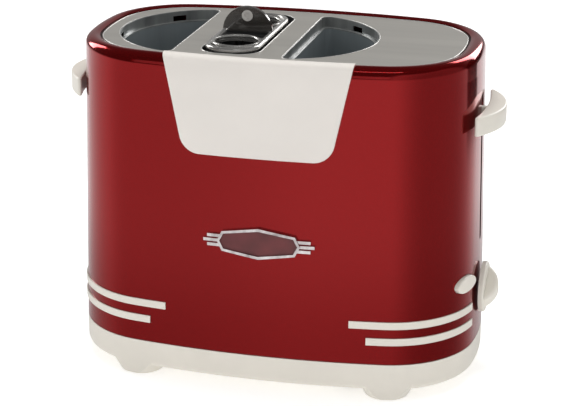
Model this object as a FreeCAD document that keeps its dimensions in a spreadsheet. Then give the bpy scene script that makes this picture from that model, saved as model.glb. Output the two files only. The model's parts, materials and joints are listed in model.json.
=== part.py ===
import FreeCAD, Part
import math
import os

import Sketcher
from FreeCAD import Placement, Rotation, Vector

# Hot dog toaster: two D-shaped bun wells and a lift-out sausage basket in one drafted, oval housing.
# Frame: X along the housing (+X is the end with the controls), -Y is the front, +Z is up,
# origin on the surface the feet stand on, under the middle of the housing. Lengths in millimetres.

DIMENSIONS = {
    # housing outline, measured at the seam between shell and base
    "half_length": 140.0, "half_width": 81.4, "front_radius": 575.0, "corner_radius": 62.0,
    "end_radius": 190.0, "shell_draft": 4.6, "seam_height": 26.5, "rim_height": 230.1,
    "rim_side_round": 2.9, "rim_end_round": 7.0, "rim_slope_width": 3.9, "rim_slope_height": 1.5,
    "shell_wall": 2.2, "fit_gap": 0.3,
    # top plate and the ledge it lies on
    "plate_end_inset": 16.0, "plate_side_inset": 11.4, "plate_front_radius": 575.0,
    "plate_corner_radius": 50.0, "plate_end_radius": 180.0, "plate_recess": 1.6,
    "plate_thickness": 1.5, "ledge_width": 3.0, "ledge_thickness": 2.0,
    # base
    "foot_height": 7.0, "base_gap": 0.5, "base_wall": 2.6, "base_floor": 2.0, "base_round": 4.0,
    "base_lip": 5.0, "foot_spread_length": 87.0, "foot_spread_width": 60.0, "foot_root_radius": 21.0,
    "foot_tip_radius": 15.0, "pad_radius": 7.5, "pad_thickness": 2.0, "pad_proud": 0.6,
    "vent_width": 4.0, "vent_length": 50.0, "vent_pitch": 9.0,
    # wells
    "well_centre": -25.2, "flat_offset": 36.7, "well_end_gap": 24.8, "well_side_gap": 17.4,
    "dee_corner": 6.0, "centre_half_width": 20.8, "centre_side_gap": 22.4, "centre_corner": 15.0,
    "collar_depth": 8.0, "collar_wall": 0.8, "collar_ledge": 2.0, "liner_wall": 0.8,
    "window_width": 10.0, "window_height": 3.8, "heat_window_width": 36.0,
    "heat_window_bottom": 62.0, "heat_window_margin": 10.0, "heat_window_offset": 29.0,
    # deck that carries the wells
    "deck_height": 34.0, "deck_thickness": 1.5, "deck_inset": 7.0, "post_radius": 4.0,
    # heaters and guard wires
    "mica_thickness": 1.2, "mica_side_gap": 28.4, "mica_drop": 34.1, "ribbon_height": 2.4,
    "ribbon_thickness": 0.4, "ribbon_rows": 9.0, "guard_wire_radius": 0.8, "guard_wire_pitch": 9.0,
    # carriage, levers and guides
    "lever_drop": 45.6, "lever_thickness": 13.0, "lever_half_span": 36.5, "lever_gap": 3.6,
    "lever_depth": 12.4, "lever_tip": 2.6, "lever_edge": 1.3, "neck_width": 4.6, "neck_height": 9.0,
    "lever_floor": 100.5, "slot_width": 6.0, "slot_low_margin": 6.0, "slot_top_margin": 14.0,
    "arm_thickness": 2.0, "arm_height": 6.0, "bar_floor": 38.0, "bar_height": 12.0,
    "bar_thickness": 3.0, "bar_clearance": 2.0, "tray_sheet": 1.2, "tray_clearance": 2.0,
    "carriage_gap": 5.5, "carriage_sheet": 1.5, "carriage_half_width": 13.0, "block_length": 11.0,
    "block_width": 11.0, "block_drop": 34.5, "block_height": 30.0, "rod_radius": 2.5, "rod_offset": 8.0,
    "rod_clearance": 0.1, "frame_gap": 3.0, "frame_sheet": 1.2, "frame_half_width": 26.0,
    "flange_drop": 23.1, "spring_radius": 3.0, "spring_wire": 0.6, "spring_turns": 9.0,
    # controls
    "knob_height": 59.7, "knob_radius": 17.5, "knob_thickness": 3.6, "knob_gap": 0.8,
    "grip_depth": 8.0, "grip_width": 11.0, "grip_angle": 35.0, "shaft_radius": 3.0,
    "shaft_clearance": 0.4, "pot_radius": 9.0, "pot_length": 9.0, "board_thickness": 1.6,
    "board_half_width": 38.0, "board_top": 88.0, "button_height": 74.0, "button_angle": 20.7,
    "button_half_width": 11.8, "button_half_height": 5.7, "button_proud": 2.4,
    "button_clearance": 0.4, "button_travel": 2.5, "stem_radius": 2.0,
    # trim
    "plaque_end_gap": 76.4, "plaque_drop": 65.1, "plaque_taper": 13.9, "plaque_corner": 14.0,
    "plaque_thickness": 1.6, "plaque_hook": 4.2, "strip_height": 5.0, "strip_upper": 54.3,
    "strip_lower": 42.8,
    "strip_proud": 0.9, "strip_upper_start": 63.7, "strip_lower_start": 75.2, "strip_end": 25.0,
    "badge_centre": 2.5, "badge_height": 106.8, "badge_half_width": 28.5, "badge_half_height": 10.7,
    "badge_rim": 1.9, "badge_thickness": 2.6, "badge_wing": 9.5, "badge_shoulder": 25.0,
    "badge_shoulder_height": 6.8, "badge_bar_pitch": 3.2, "badge_bar_height": 2.1,
    # basket
    "ring_half_width": 18.6, "ring_end_gap": 6.0, "ring_corner": 16.5, "ring_tube": 4.4,
    "ring_top": 231.8, "sausage_end_gap": 24.0, "sausage_radius": 15.0, "hole_rim": 1.2,
    "cage_wire": 0.9, "cage_wires": 6.0, "basket_stand": 0.3, "tab_half_width": 17.4,
    "tab_height": 17.2, "tab_thickness": 3.0, "boss_radius": 3.8, "boss_height": 10.9,
    "boss_dimple": 0.9, "saddle_half_width": 9.0, "basket_shift": -3.5,
    # crumb tray and rear bush
    "tray_half_width": 60.0, "tray_half_length": 62.0, "tray_depth": 11.0, "tray_wall": 1.0,
    "bush_position": 66.0, "bush_radius": 6.6, "bush_flange": 1.3, "tray_pull": 1.0,
    "screw_radius": 2.0, "screw_length": 16.0,
}

PARTS_FOLDER = "parts"
FAR = 400.0          # longer than the whole object, for tools that only have to reach past it
SKIN = 0.4           # how far a cutting tool reaches past the face it starts from
DOC = FreeCAD.newDocument("hot_dog_toaster")
PIECES = {}


# --- sizes ---------------------------------------------------------------------------------------

class Size:
    """A length that carries its number together with the spreadsheet expression that gives it."""

    def __init__(self, number, text):
        self.number = float(number)
        self.text = text

    def __add__(self, other):
        other = as_size(other)
        return Size(self.number + other.number, f"({self.text} + {other.text})")

    def __radd__(self, other):
        return as_size(other) + self

    def __sub__(self, other):
        other = as_size(other)
        return Size(self.number - other.number, f"({self.text} - {other.text})")

    def __rsub__(self, other):
        return as_size(other) - self

    def __mul__(self, other):
        other = as_size(other)
        return Size(self.number * other.number, f"({self.text} * {other.text})")

    def __rmul__(self, other):
        return as_size(other) * self

    def __truediv__(self, other):
        other = as_size(other)
        return Size(self.number / other.number, f"({self.text} / {other.text})")

    def __neg__(self):
        return Size(-self.number, f"(0 - {self.text})")


class Dimensions:
    """Gives every driving dimension as a Size: D.wall is the cell with the alias wall."""

    def __getattr__(self, alias):
        return Size(DIMENSIONS[alias], "dims." + alias)


D = Dimensions()


def as_size(value):
    return value if isinstance(value, Size) else Size(value, repr(float(value)))


def root(size):
    return Size(math.sqrt(size.number), f"sqrt({size.text})")


def slope_angle(rise, run):
    """The angle in degrees whose tangent is rise over run."""
    return Size(math.degrees(math.atan(rise.number / run.number)), f"atan({rise.text} / {run.text})")


def make_sheet():
    sheet = DOC.addObject("Spreadsheet::Sheet", "dims")
    for row, (alias, value) in enumerate(DIMENSIONS.items(), start=1):
        sheet.set(f"A{row}", alias.replace("_", " "))
        sheet.set(f"B{row}", str(value))
        sheet.setAlias(f"B{row}", alias)
    DOC.recompute()


def bind(thing, path, size):
    thing.setExpression(path, as_size(size).text)


def locate(thing, x=0, y=0, z=0, turn=None):
    """Puts a thing at x, y, z, bound to the sheet, with an optional fixed rotation."""
    x, y, z = as_size(x), as_size(y), as_size(z)
    thing.Placement = Placement(Vector(x.number, y.number, z.number), turn or Rotation())
    bind(thing, "Placement.Base.x", x)
    bind(thing, "Placement.Base.y", y)
    bind(thing, "Placement.Base.z", z)


# --- primitives and booleans ---------------------------------------------------------------------

UP = Rotation()
ALONG_X = Rotation(Vector(0, 1, 0), 90)
ALONG_Y = Rotation(Vector(1, 0, 0), -90)


def box(name, x_span, y_span, z_span):
    """A box from the low to the high value of each span."""
    solid = DOC.addObject("Part::Box", name)
    spans = [(as_size(low), as_size(high)) for low, high in (x_span, y_span, z_span)]
    for side, (low, high) in zip(("Length", "Width", "Height"), spans):
        bind(solid, side, high - low)
    locate(solid, *[low for low, high in spans])
    return solid


def cylinder(name, centre, radius, length, axis=UP):
    solid = DOC.addObject("Part::Cylinder", name)
    bind(solid, "Radius", radius)
    bind(solid, "Height", length)
    locate(solid, *centre, turn=axis)
    return solid


def cone(name, centre, bottom_radius, top_radius, height):
    solid = DOC.addObject("Part::Cone", name)
    bind(solid, "Radius1", bottom_radius)
    bind(solid, "Radius2", top_radius)
    bind(solid, "Height", height)
    locate(solid, *centre)
    return solid


def torus(name, centre, radius, wire_radius):
    solid = DOC.addObject("Part::Torus", name)
    bind(solid, "Radius1", radius)
    bind(solid, "Radius2", wire_radius)
    locate(solid, *centre)
    return solid


def fuse(name, solids):
    if len(solids) == 1:
        return solids[0]
    joined = DOC.addObject("Part::MultiFuse", name)
    joined.Shapes = solids
    joined.Refine = False
    return joined


def cut(name, base, tools):
    result = DOC.addObject("Part::Cut", name)
    result.Base = base
    result.Tool = fuse(name + "_tools", tools)
    result.Refine = False
    return result


def common(name, first, second):
    result = DOC.addObject("Part::Common", name)
    result.Base = first
    result.Tool = second
    result.Refine = False
    return result


def group(name, solids):
    """Separate identical solids kept together as one node."""
    result = DOC.addObject("Part::Compound", name)
    result.Links = solids
    return result


def piece(label, thing):
    """Names a finished sub-part; its label is also the name of its file."""
    thing.Label = label
    PIECES[label] = thing
    return thing


# --- sketches ------------------------------------------------------------------------------------

def new_body(name):
    return DOC.addObject("PartDesign::Body", name)


def new_sketch(body, name, role="XY_Plane", offset=0):
    """A sketch on one of its own body's origin planes, moved along the plane's normal."""
    sketch = body.newObject("Sketcher::SketchObject", name)
    plane = [feature for feature in body.Origin.OriginFeatures if feature.Role == role][0]
    sketch.AttachmentSupport = [(plane, "")]
    sketch.MapMode = "FlatFace"
    offset = as_size(offset)
    sketch.AttachmentOffset = Placement(Vector(0, 0, offset.number), Rotation())
    bind(sketch, "AttachmentOffset.Base.z", offset)
    return sketch


def constrain(sketch, kind, *where, size=None):
    if size is None:
        sketch.addConstraint(Sketcher.Constraint(kind, *where))
        return
    index = sketch.addConstraint(Sketcher.Constraint(kind, *where, size.number))
    bind(sketch, f"Constraints[{index}]", size)


def fix_point(sketch, geometry, end, x=None, y=None):
    """Holds one point of the geometry at x and y from the sketch's origin."""
    for kind, value in (("DistanceX", x), ("DistanceY", y)):
        if value is None:
            continue
        value = as_size(value)
        if value.number == 0:
            constrain(sketch, "PointOnObject", geometry, end, -2 if kind == "DistanceX" else -1)
        elif value.number > 0:
            constrain(sketch, kind, -1, 1, geometry, end, size=value)
        else:
            constrain(sketch, kind, geometry, end, -1, 1, size=-value)


def arc(centre_x, centre_y, radius, start, end):
    circle = Part.Circle(Vector(centre_x, centre_y, 0), Vector(0, 0, 1), radius)
    return Part.ArcOfCircle(circle, start, end)


def oval_sizes(outline):
    """Half length, half width and the radii of the front, corner and end arcs of an oval."""
    if outline == "plate":
        return (D.half_length - D.plate_end_inset, D.half_width - D.plate_side_inset,
                D.plate_front_radius, D.plate_corner_radius, D.plate_end_radius)
    return D.half_length, D.half_width, D.front_radius, D.corner_radius, D.end_radius


def corner_centre(outline="housing"):
    """Centre of the corner arc at +x, -y, tangent inside to the end arc and to the front arc."""
    length, width, front, corner, end = [size.number for size in oval_sizes(outline)]
    end_x = length - end
    front_y = front - width
    to_end = end - corner
    to_front = front - corner
    span = math.hypot(end_x, front_y)
    along = (to_end**2 - to_front**2 + span**2) / (2 * span)
    aside = math.sqrt(to_end**2 - along**2)
    unit_x, unit_y = -end_x / span, front_y / span
    return end_x + along * unit_x + aside * unit_y, along * unit_y - aside * unit_x


def oval_sketch(body, name, height, inset, outline="housing"):
    """An oval of eight tangent arcs, the housing's or the plate's, moved inwards by the inset."""
    height, inset = as_size(height), as_size(inset)
    sketch = new_sketch(body, name, offset=height)
    half_length, half_width, front_radius, corner_radius, end_radius = oval_sizes(outline)
    end_x = half_length - end_radius
    front_y = front_radius - half_width
    corner_x, corner_y = corner_centre(outline)
    low = math.atan2(corner_y, corner_x - end_x.number)
    steep = math.atan2(corner_y - front_y.number, corner_x)
    radii = {"end": end_radius - inset, "corner": corner_radius - inset,
             "front": front_radius - inset}
    arcs = [
        ("end", end_x.number, 0, low, -low),
        ("corner", corner_x, -corner_y, -low, -steep),
        ("front", 0, -front_y.number, -steep, math.pi + steep),
        ("corner", -corner_x, -corner_y, math.pi + steep, math.pi + low),
        ("end", -end_x.number, 0, math.pi + low, math.pi - low),
        ("corner", -corner_x, corner_y, math.pi - low, math.pi - steep),
        ("front", 0, front_y.number, math.pi - steep, 2 * math.pi + steep),
        ("corner", corner_x, corner_y, 2 * math.pi + steep, 2 * math.pi + low)]
    for kind, x, y, start, end in arcs:
        sketch.addGeometry(arc(x, y, radii[kind].number, start, end), False)
    for index, (kind, *_) in enumerate(arcs):
        constrain(sketch, "Tangent", index, 2, (index + 1) % len(arcs), 1)
        constrain(sketch, "Radius", index, size=radii[kind])
    fix_point(sketch, 0, 3, x=end_x, y=0)
    fix_point(sketch, 4, 3, x=-end_x, y=0)
    fix_point(sketch, 2, 3, x=0, y=-front_y)
    fix_point(sketch, 6, 3, x=0, y=front_y)
    return sketch


def dee_sketch(body, name, height, side, inset):
    """Outline of a bun well: a circular arc closed by a flat facing the sausage well."""
    inset = as_size(inset)
    sketch = new_sketch(body, name, offset=height)
    centre = D.well_centre + side * DEE_CENTRE
    flat = D.well_centre + side * (D.flat_offset + inset)
    radius = DEE_RADIUS - inset
    corner = D.dee_corner - inset * 0.5
    corner_x = flat.number + side * corner.number
    reach = radius.number - corner.number
    corner_y = math.sqrt(reach**2 - (corner_x - centre.number)**2)
    swing = math.atan2(corner_y, side * (corner_x - centre.number))
    middle = 0 if side > 0 else math.pi
    first_y, flat_start = (corner_y, math.pi) if side > 0 else (-corner_y, 0)
    sketch.addGeometry(arc(centre.number, 0, radius.number, middle - swing, middle + swing), False)
    sketch.addGeometry(arc(corner_x, first_y, corner.number, middle + swing, middle + math.pi), False)
    sketch.addGeometry(Part.LineSegment(Vector(flat.number, first_y, 0),
                                        Vector(flat.number, -first_y, 0)), False)
    sketch.addGeometry(arc(corner_x, -first_y, corner.number, flat_start, middle + 2 * math.pi - swing),
                       False)
    for index in range(4):
        constrain(sketch, "Tangent", index, 2, (index + 1) % 4, 1)
    constrain(sketch, "Radius", 0, size=radius)
    constrain(sketch, "Radius", 1, size=corner)
    constrain(sketch, "Radius", 3, size=corner)
    fix_point(sketch, 0, 3, x=centre, y=0)
    fix_point(sketch, 2, 1, x=flat)
    return sketch


def rounded_sketch(body, name, half_x, half_y, corner, centre=(0, 0), role="XY_Plane", offset=0):
    """A rectangle with rounded corners about a centre."""
    sketch = new_sketch(body, name, role, offset)
    x, y = as_size(centre[0]), as_size(centre[1])
    half_x, half_y, corner = as_size(half_x), as_size(half_y), as_size(corner)
    turns = [(1, 1, 0), (-1, 1, 90), (-1, -1, 180), (1, -1, 270)]
    places = [(x + sx * (half_x - corner), y + sy * (half_y - corner)) for sx, sy, _ in turns]
    for (centre_x, centre_y), (_, _, start) in zip(places, turns):
        sketch.addGeometry(arc(centre_x.number, centre_y.number, corner.number,
                               math.radians(start), math.radians(start + 90)), False)
    ends = [sketch.Geometry[index] for index in range(4)]
    for index in range(4):
        line = Part.LineSegment(ends[index].EndPoint, ends[(index + 1) % 4].StartPoint)
        sketch.addGeometry(line, False)
    for index, (centre_x, centre_y) in enumerate(places):
        constrain(sketch, "Tangent", index, 2, index + 4, 1)
        constrain(sketch, "Tangent", index + 4, 2, (index + 1) % 4, 1)
        fix_point(sketch, index, 3, x=centre_x, y=centre_y)
    constrain(sketch, "Radius", 0, size=corner)
    return sketch


def polygon_sketch(body, name, points, role="XY_Plane", offset=0):
    """A closed outline of straight lines through the points."""
    sketch = new_sketch(body, name, role, offset)
    points = [(as_size(x), as_size(y)) for x, y in points]
    corners = [Vector(x.number, y.number, 0) for x, y in points]
    for index, start in enumerate(corners):
        sketch.addGeometry(Part.LineSegment(start, corners[(index + 1) % len(corners)]), False)
    for index, (x, y) in enumerate(points):
        constrain(sketch, "Coincident", index - 1 if index else len(points) - 1, 2, index, 1)
        fix_point(sketch, index, 1, x=x, y=y)
    return sketch


def circle_sketch(body, name, radius, centre=(0, 0), role="XY_Plane", offset=0):
    sketch = new_sketch(body, name, role, offset)
    x, y, radius = as_size(centre[0]), as_size(centre[1]), as_size(radius)
    sketch.addGeometry(Part.Circle(Vector(x.number, y.number, 0), Vector(0, 0, 1), radius.number), False)
    constrain(sketch, "Radius", 0, size=radius)
    fix_point(sketch, 0, 3, x=x, y=y)
    return sketch


def ellipse_sketch(body, name, half_y, half_z, offset):
    """An ellipse on the plane across the body's own x axis."""
    sketch = new_sketch(body, name, "YZ_Plane", offset)
    half_y, half_z = as_size(half_y), as_size(half_z)
    sketch.addGeometry(Part.Ellipse(Vector(0, 0, 0), half_y.number, half_z.number), False)
    sketch.exposeInternalGeometry(0)
    constrain(sketch, "Coincident", 0, 3, -1, 1)
    constrain(sketch, "Horizontal", 1)
    constrain(sketch, "Distance", 1, size=2 * half_y)
    constrain(sketch, "Distance", 2, size=2 * half_z)
    return sketch


# --- features ------------------------------------------------------------------------------------

def pad(body, sketch, length, backwards=False, midplane=False):
    feature = body.newObject("PartDesign::Pad", sketch.Name + "_pad")
    feature.Profile = sketch
    bind(feature, "Length", length)
    feature.Reversed = backwards
    feature.Midplane = midplane
    return feature


def pocket(body, sketch, depth, upwards=False):
    """Cuts from the sketch downwards, or upwards; stops if nothing was cut away."""
    DOC.recompute()
    before = body.Shape.Volume
    feature = body.newObject("PartDesign::Pocket", sketch.Name + "_pocket")
    feature.Profile = sketch
    bind(feature, "Length", depth)
    feature.Reversed = upwards
    DOC.recompute()
    if body.Shape.Volume >= before:
        raise RuntimeError(f"{feature.Name} cuts nothing")
    return feature


def round_edges(body, radius, wanted):
    """Rounds the edges of the body's tip that the test picks."""
    DOC.recompute()
    tip = body.Tip
    names = [f"Edge{index}" for index, edge in enumerate(tip.Shape.Edges, start=1) if wanted(edge)]
    feature = body.newObject("PartDesign::Fillet", f"{body.Name}_round{len(body.Group)}")
    feature.Base = (tip, names)
    bind(feature, "Radius", radius)
    return feature


def lies_at(axis, level, tolerance=0.01):
    """A test for edges that lie wholly at one level of an axis."""
    level = as_size(level).number

    def test(edge):
        bounds = edge.BoundBox
        low, high = {"x": (bounds.XMin, bounds.XMax), "y": (bounds.YMin, bounds.YMax),
                     "z": (bounds.ZMin, bounds.ZMax)}[axis]
        return abs(low - level) < tolerance and abs(high - level) < tolerance
    return test


# --- shared forms --------------------------------------------------------------------------------

PLATE_TOP = D.rim_height - D.plate_recess
BASE_TOP = D.seam_height - D.base_gap
FLOOR_TOP = D.foot_height + D.base_floor
LINER_INSET = D.fit_gap + D.collar_ledge
LINER_TOP = PLATE_TOP - D.collar_depth
SLOT_HALF = D.bar_thickness / 2 + D.bar_clearance
DEE_RADIUS = D.half_width - D.well_side_gap
DEE_CENTRE = D.half_length + D.well_centre - D.well_end_gap - DEE_RADIUS
CENTRE_HALF_LENGTH = D.half_width - D.centre_side_gap
RING_HALF_LENGTH = CENTRE_HALF_LENGTH - D.ring_end_gap
SAUSAGE_OFFSET = RING_HALF_LENGTH - D.sausage_end_gap
MICA_HALF_LENGTH = D.half_width - D.mica_side_gap
LEVER_HEIGHT = D.rim_height - D.lever_drop
LEVER_TRAVEL = LEVER_HEIGHT - D.lever_floor
BAR_BOTTOM = D.bar_floor + LEVER_TRAVEL
BAR_TOP = BAR_BOTTOM + D.bar_height
SLOT_BOTTOM = LEVER_HEIGHT - LEVER_TRAVEL - D.slot_low_margin
SLOT_TOP = LEVER_HEIGHT + D.slot_top_margin
FLANGE_HEIGHT = D.rim_height - D.flange_drop
BLOCK_BOTTOM = LEVER_HEIGHT - D.block_drop
CARRIAGE_TOP = LEVER_HEIGHT + D.arm_height
MICA_TOP = D.rim_height - D.mica_drop
HEAT_TOP = MICA_TOP - D.heat_window_margin
PLAQUE_BOTTOM = D.rim_height - D.plaque_drop
PLAQUE_HALF_WIDTH = D.half_length - D.plaque_end_gap
PLAQUE_HALF_FOOT = PLAQUE_HALF_WIDTH - D.plaque_taper


def draft_inset(height):
    """How far the drafted housing has moved inwards at a height."""
    return D.shell_draft * (as_size(height) - D.seam_height) / (D.rim_height - D.seam_height)


def drafted_form(name, bottom, top, offset):
    """A solid of the housing's drafted form between two heights, offset inwards."""
    body = new_body(name)
    bottom = as_size(bottom)
    straight = pad(body, oval_sketch(body, name + "_foot", bottom, draft_inset(bottom) + offset),
                   top - bottom)
    DOC.recompute()
    draft = body.newObject("PartDesign::Draft", name + "_draft")
    faces = {"side": [], "foot": []}
    for index, face in enumerate(straight.Shape.Faces, start=1):
        if isinstance(face.Surface, Part.Cylinder):
            faces["side"].append(f"Face{index}")
        elif abs(face.BoundBox.ZMax - bottom.number) < 0.01:
            faces["foot"].append(f"Face{index}")
    draft.Base = (straight, faces["side"])
    draft.NeutralPlane = (straight, faces["foot"])
    bind(draft, "Angle", slope_angle(D.shell_draft, D.rim_height - D.seam_height))
    return body


def roll_rim(name, blank, top, offset):
    """Rounds the top edge of a drafted form: tight along the sides, growing round the corners
    to a broad roll at the two ends."""
    DOC.recompute()
    side_round = (D.rim_side_round - offset).number
    end_round = (D.rim_end_round - offset).number
    at_top = lies_at("z", top)
    rolls = []
    for index, edge in enumerate(blank.Shape.Edges, start=1):
        if not at_top(edge):
            continue
        first, last = edge.valueAt(edge.FirstParameter), edge.valueAt(edge.LastParameter)
        reach = max(abs(first.x), abs(last.x))
        if edge.Curve.Radius > D.end_radius.number:
            rolls.append((index, side_round, side_round))
        elif edge.Curve.Radius > D.corner_radius.number:
            rolls.append((index, end_round, end_round))
        else:
            rolls.append((index, end_round if abs(first.x) == reach else side_round,
                          end_round if abs(last.x) == reach else side_round))
    feature = DOC.addObject("Part::Fillet", name)
    feature.Base = blank
    feature.Edges = rolls
    return feature


def prism(name, bottom, height, inset, outline="housing"):
    """A straight solid on an oval outline."""
    body = new_body(name)
    pad(body, oval_sketch(body, name + "_outline", bottom, inset, outline), height)
    return body


def make_recess():
    """The hollow for the top plate, with the slope that leads from the rim's crest down to it."""
    body = new_body("recess_body")
    floor = PLATE_TOP - D.plate_thickness
    pad(body, oval_sketch(body, "recess_outline", floor, 0, "plate"), D.rim_height + SKIN - floor)
    sloped = new_body("recess_slope")
    low = D.rim_height - D.rim_slope_height
    slope = pad(sloped, oval_sketch(sloped, "slope_outline", low, 0, "plate"),
                D.rim_slope_height + SKIN)
    bind(slope, "TaperAngle", slope_angle(D.rim_slope_width, D.rim_slope_height))
    return [body, sloped]


def make_housing_form():
    """The housing as a solid: drafted sides, rolled rim and the recess for the top plate."""
    blank = drafted_form("housing_blank", D.seam_height, D.rim_height, 0)
    rolled = roll_rim("housing_rolled", blank, D.rim_height, 0)
    return cut("housing_form", rolled, make_recess())


# --- housing -------------------------------------------------------------------------------------

def lever_slot(name, side):
    """Cutter for the upright slot that a lever's neck slides in."""
    body = new_body(name)
    middle = (SLOT_BOTTOM + SLOT_TOP) / 2
    half_height = (SLOT_TOP - SLOT_BOTTOM) / 2
    sketch = rounded_sketch(body, name + "_outline", D.slot_width / 2, half_height,
                            D.slot_width / 2 - D.fit_gap, centre=(0, middle), role="YZ_Plane",
                            offset=side * D.half_length)
    pad(body, sketch, 40, midplane=True)
    return body


def button_place():
    """Where the stop button's axis leaves the housing, and its turn about the upright."""
    corner_x, corner_y = corner_centre()
    radius = D.corner_radius.number - draft_inset(D.button_height).number
    angle = math.radians(-D.button_angle.number)
    position = Vector(corner_x + radius * math.cos(angle), corner_y + radius * math.sin(angle),
                      D.button_height.number)
    return Placement(position, Rotation(Vector(0, 0, 1), -D.button_angle.number))


def button_hole():
    body = new_body("button_hole")
    sketch = ellipse_sketch(body, "button_hole_outline", D.button_half_width + D.button_clearance,
                            D.button_half_height + D.button_clearance, -8)
    pad(body, sketch, 12)
    body.Placement = button_place()
    return body


def collar_relief(name, side, bottom):
    """Keeps the ledge that carries the top plate clear of a bun well's collar."""
    body = new_body(f"relief_{name}")
    sketch = dee_sketch(body, f"relief_{name}_outline", bottom - SKIN, side, -D.fit_gap)
    pad(body, sketch, D.ledge_thickness + 2 * SKIN)
    return body


def make_outer_shell(form):
    cavity_top = PLATE_TOP - D.plate_thickness - D.ledge_thickness
    cavity = drafted_form("shell_cavity", D.seam_height - SKIN, cavity_top, D.shell_wall)
    opening = prism("shell_opening", cavity_top - SKIN, D.rim_height - cavity_top + 1,
                    D.ledge_width, "plate")
    knob_hole = cylinder("knob_hole", (D.half_length - 12, 0, D.knob_height),
                         D.shaft_radius + D.shaft_clearance, 20, ALONG_X)
    tools = [cavity, opening, knob_hole, button_hole()]
    tools += [lever_slot("slot_right", 1), lever_slot("slot_left", -1)]
    tools += [collar_relief(name, side, cavity_top) for name, side in SIDES.items()]
    piece("outer_shell", cut("shell", form, tools))


def make_top_plate():
    body = new_body("plate")
    bottom = PLATE_TOP - D.plate_thickness
    pad(body, oval_sketch(body, "plate_outline", bottom, D.fit_gap, "plate"), D.plate_thickness)
    for name, side in (("plate_right", 1), ("plate_left", -1)):
        pocket(body, dee_sketch(body, name, PLATE_TOP, side, 0), D.plate_thickness + SKIN)
    middle = rounded_sketch(body, "plate_middle", D.centre_half_width, CENTRE_HALF_LENGTH,
                            D.centre_corner, centre=(D.well_centre, 0), offset=PLATE_TOP)
    pocket(body, middle, D.plate_thickness + SKIN)
    piece("top_plate", body)


def shield(name):
    """Cutter with the outline of the front plaque, reaching forwards from the middle."""
    body = new_body(name)
    top = D.rim_height + 6
    slope = (PLAQUE_HALF_WIDTH - PLAQUE_HALF_FOOT) / (D.rim_height - PLAQUE_BOTTOM)
    half_top = PLAQUE_HALF_WIDTH + slope * 6
    points = [(-half_top, top), (-PLAQUE_HALF_FOOT, PLAQUE_BOTTOM),
              (PLAQUE_HALF_FOOT, PLAQUE_BOTTOM), (half_top, top)]
    pad(body, polygon_sketch(body, name + "_outline", points, role="XZ_Plane"), D.half_width + 10)
    foot = PLAQUE_HALF_FOOT.number

    def bottom_corner(edge):
        bounds = edge.BoundBox
        return (abs(bounds.ZMax - PLAQUE_BOTTOM.number) < 0.01
                and abs(abs(bounds.XMax) - foot) < 0.01 and bounds.XLength < 0.01)
    round_edges(body, D.plaque_corner, bottom_corner)
    return body


def make_plaque(form):
    """The plaque that hooks over the front of the rim and ends just past its crest."""
    top = D.rim_height + D.plaque_thickness / 2
    skin = drafted_form("plaque_blank_skin", PLAQUE_BOTTOM - D.plaque_corner, top,
                        -D.plaque_thickness)
    rolled = roll_rim("plaque_skin", skin, top, -D.plaque_thickness / 2)
    blank = common("plaque_blank", shield("plaque_shield"), rolled)
    inside = prism("plaque_inside", PLAQUE_BOTTOM, FAR, D.shell_draft + D.plaque_hook)
    piece("front_plaque", cut("plaque", cut("plaque_front", blank, [form]), [inside]))


def make_trim_strips(form):
    """Two parallel strips on each side of the front and back, in pairs."""
    bands = {}
    starts = {"upper": D.strip_upper_start, "lower": D.strip_lower_start}
    for level, middle in (("upper", D.strip_upper), ("lower", D.strip_lower)):
        band = drafted_form(f"{level}_band", middle - D.strip_height / 2, middle + D.strip_height / 2,
                            -D.strip_proud)
        bands[level] = cut(f"{level}_ring", band, [form])
    regions = {
        "trim_strips_left": lambda start: ((-FAR, -start), (-FAR, FAR)),
        "trim_strips_right_front": lambda start: ((start, FAR), (-FAR, -D.strip_end)),
        "trim_strips_right_rear": lambda start: ((start, FAR), (D.strip_end, FAR))}
    for label, region in regions.items():
        strips = []
        for level, start in starts.items():
            x_span, y_span = region(start)
            window = box(f"{label}_{level}_window", x_span, y_span, (0, D.rim_height))
            strips.append(common(f"{label}_{level}", bands[level], window))
        piece(label, group(label + "_pair", strips))


def front_cutter(name, points):
    """Cutter with a straight-sided outline on the front, reaching forwards from the middle."""
    body = new_body(name)
    pad(body, polygon_sketch(body, name + "_outline", points, role="XZ_Plane"), D.half_width + 10)
    return body


def badge_points(inset):
    """The badge's eight corners, with peaks above and below and at both ends."""
    half_length, half_height = D.badge_half_width - inset, D.badge_half_height - inset
    shoulder_x = D.badge_shoulder - inset * 0.6
    shoulder_z = D.badge_shoulder_height - inset * 0.8
    corners = [(-half_length, 0), (-shoulder_x, -shoulder_z), (0, -half_height),
               (shoulder_x, -shoulder_z), (half_length, 0), (shoulder_x, shoulder_z),
               (0, half_height), (-shoulder_x, shoulder_z)]
    return [(D.badge_centre + x, D.badge_height + z) for x, z in corners]


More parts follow.
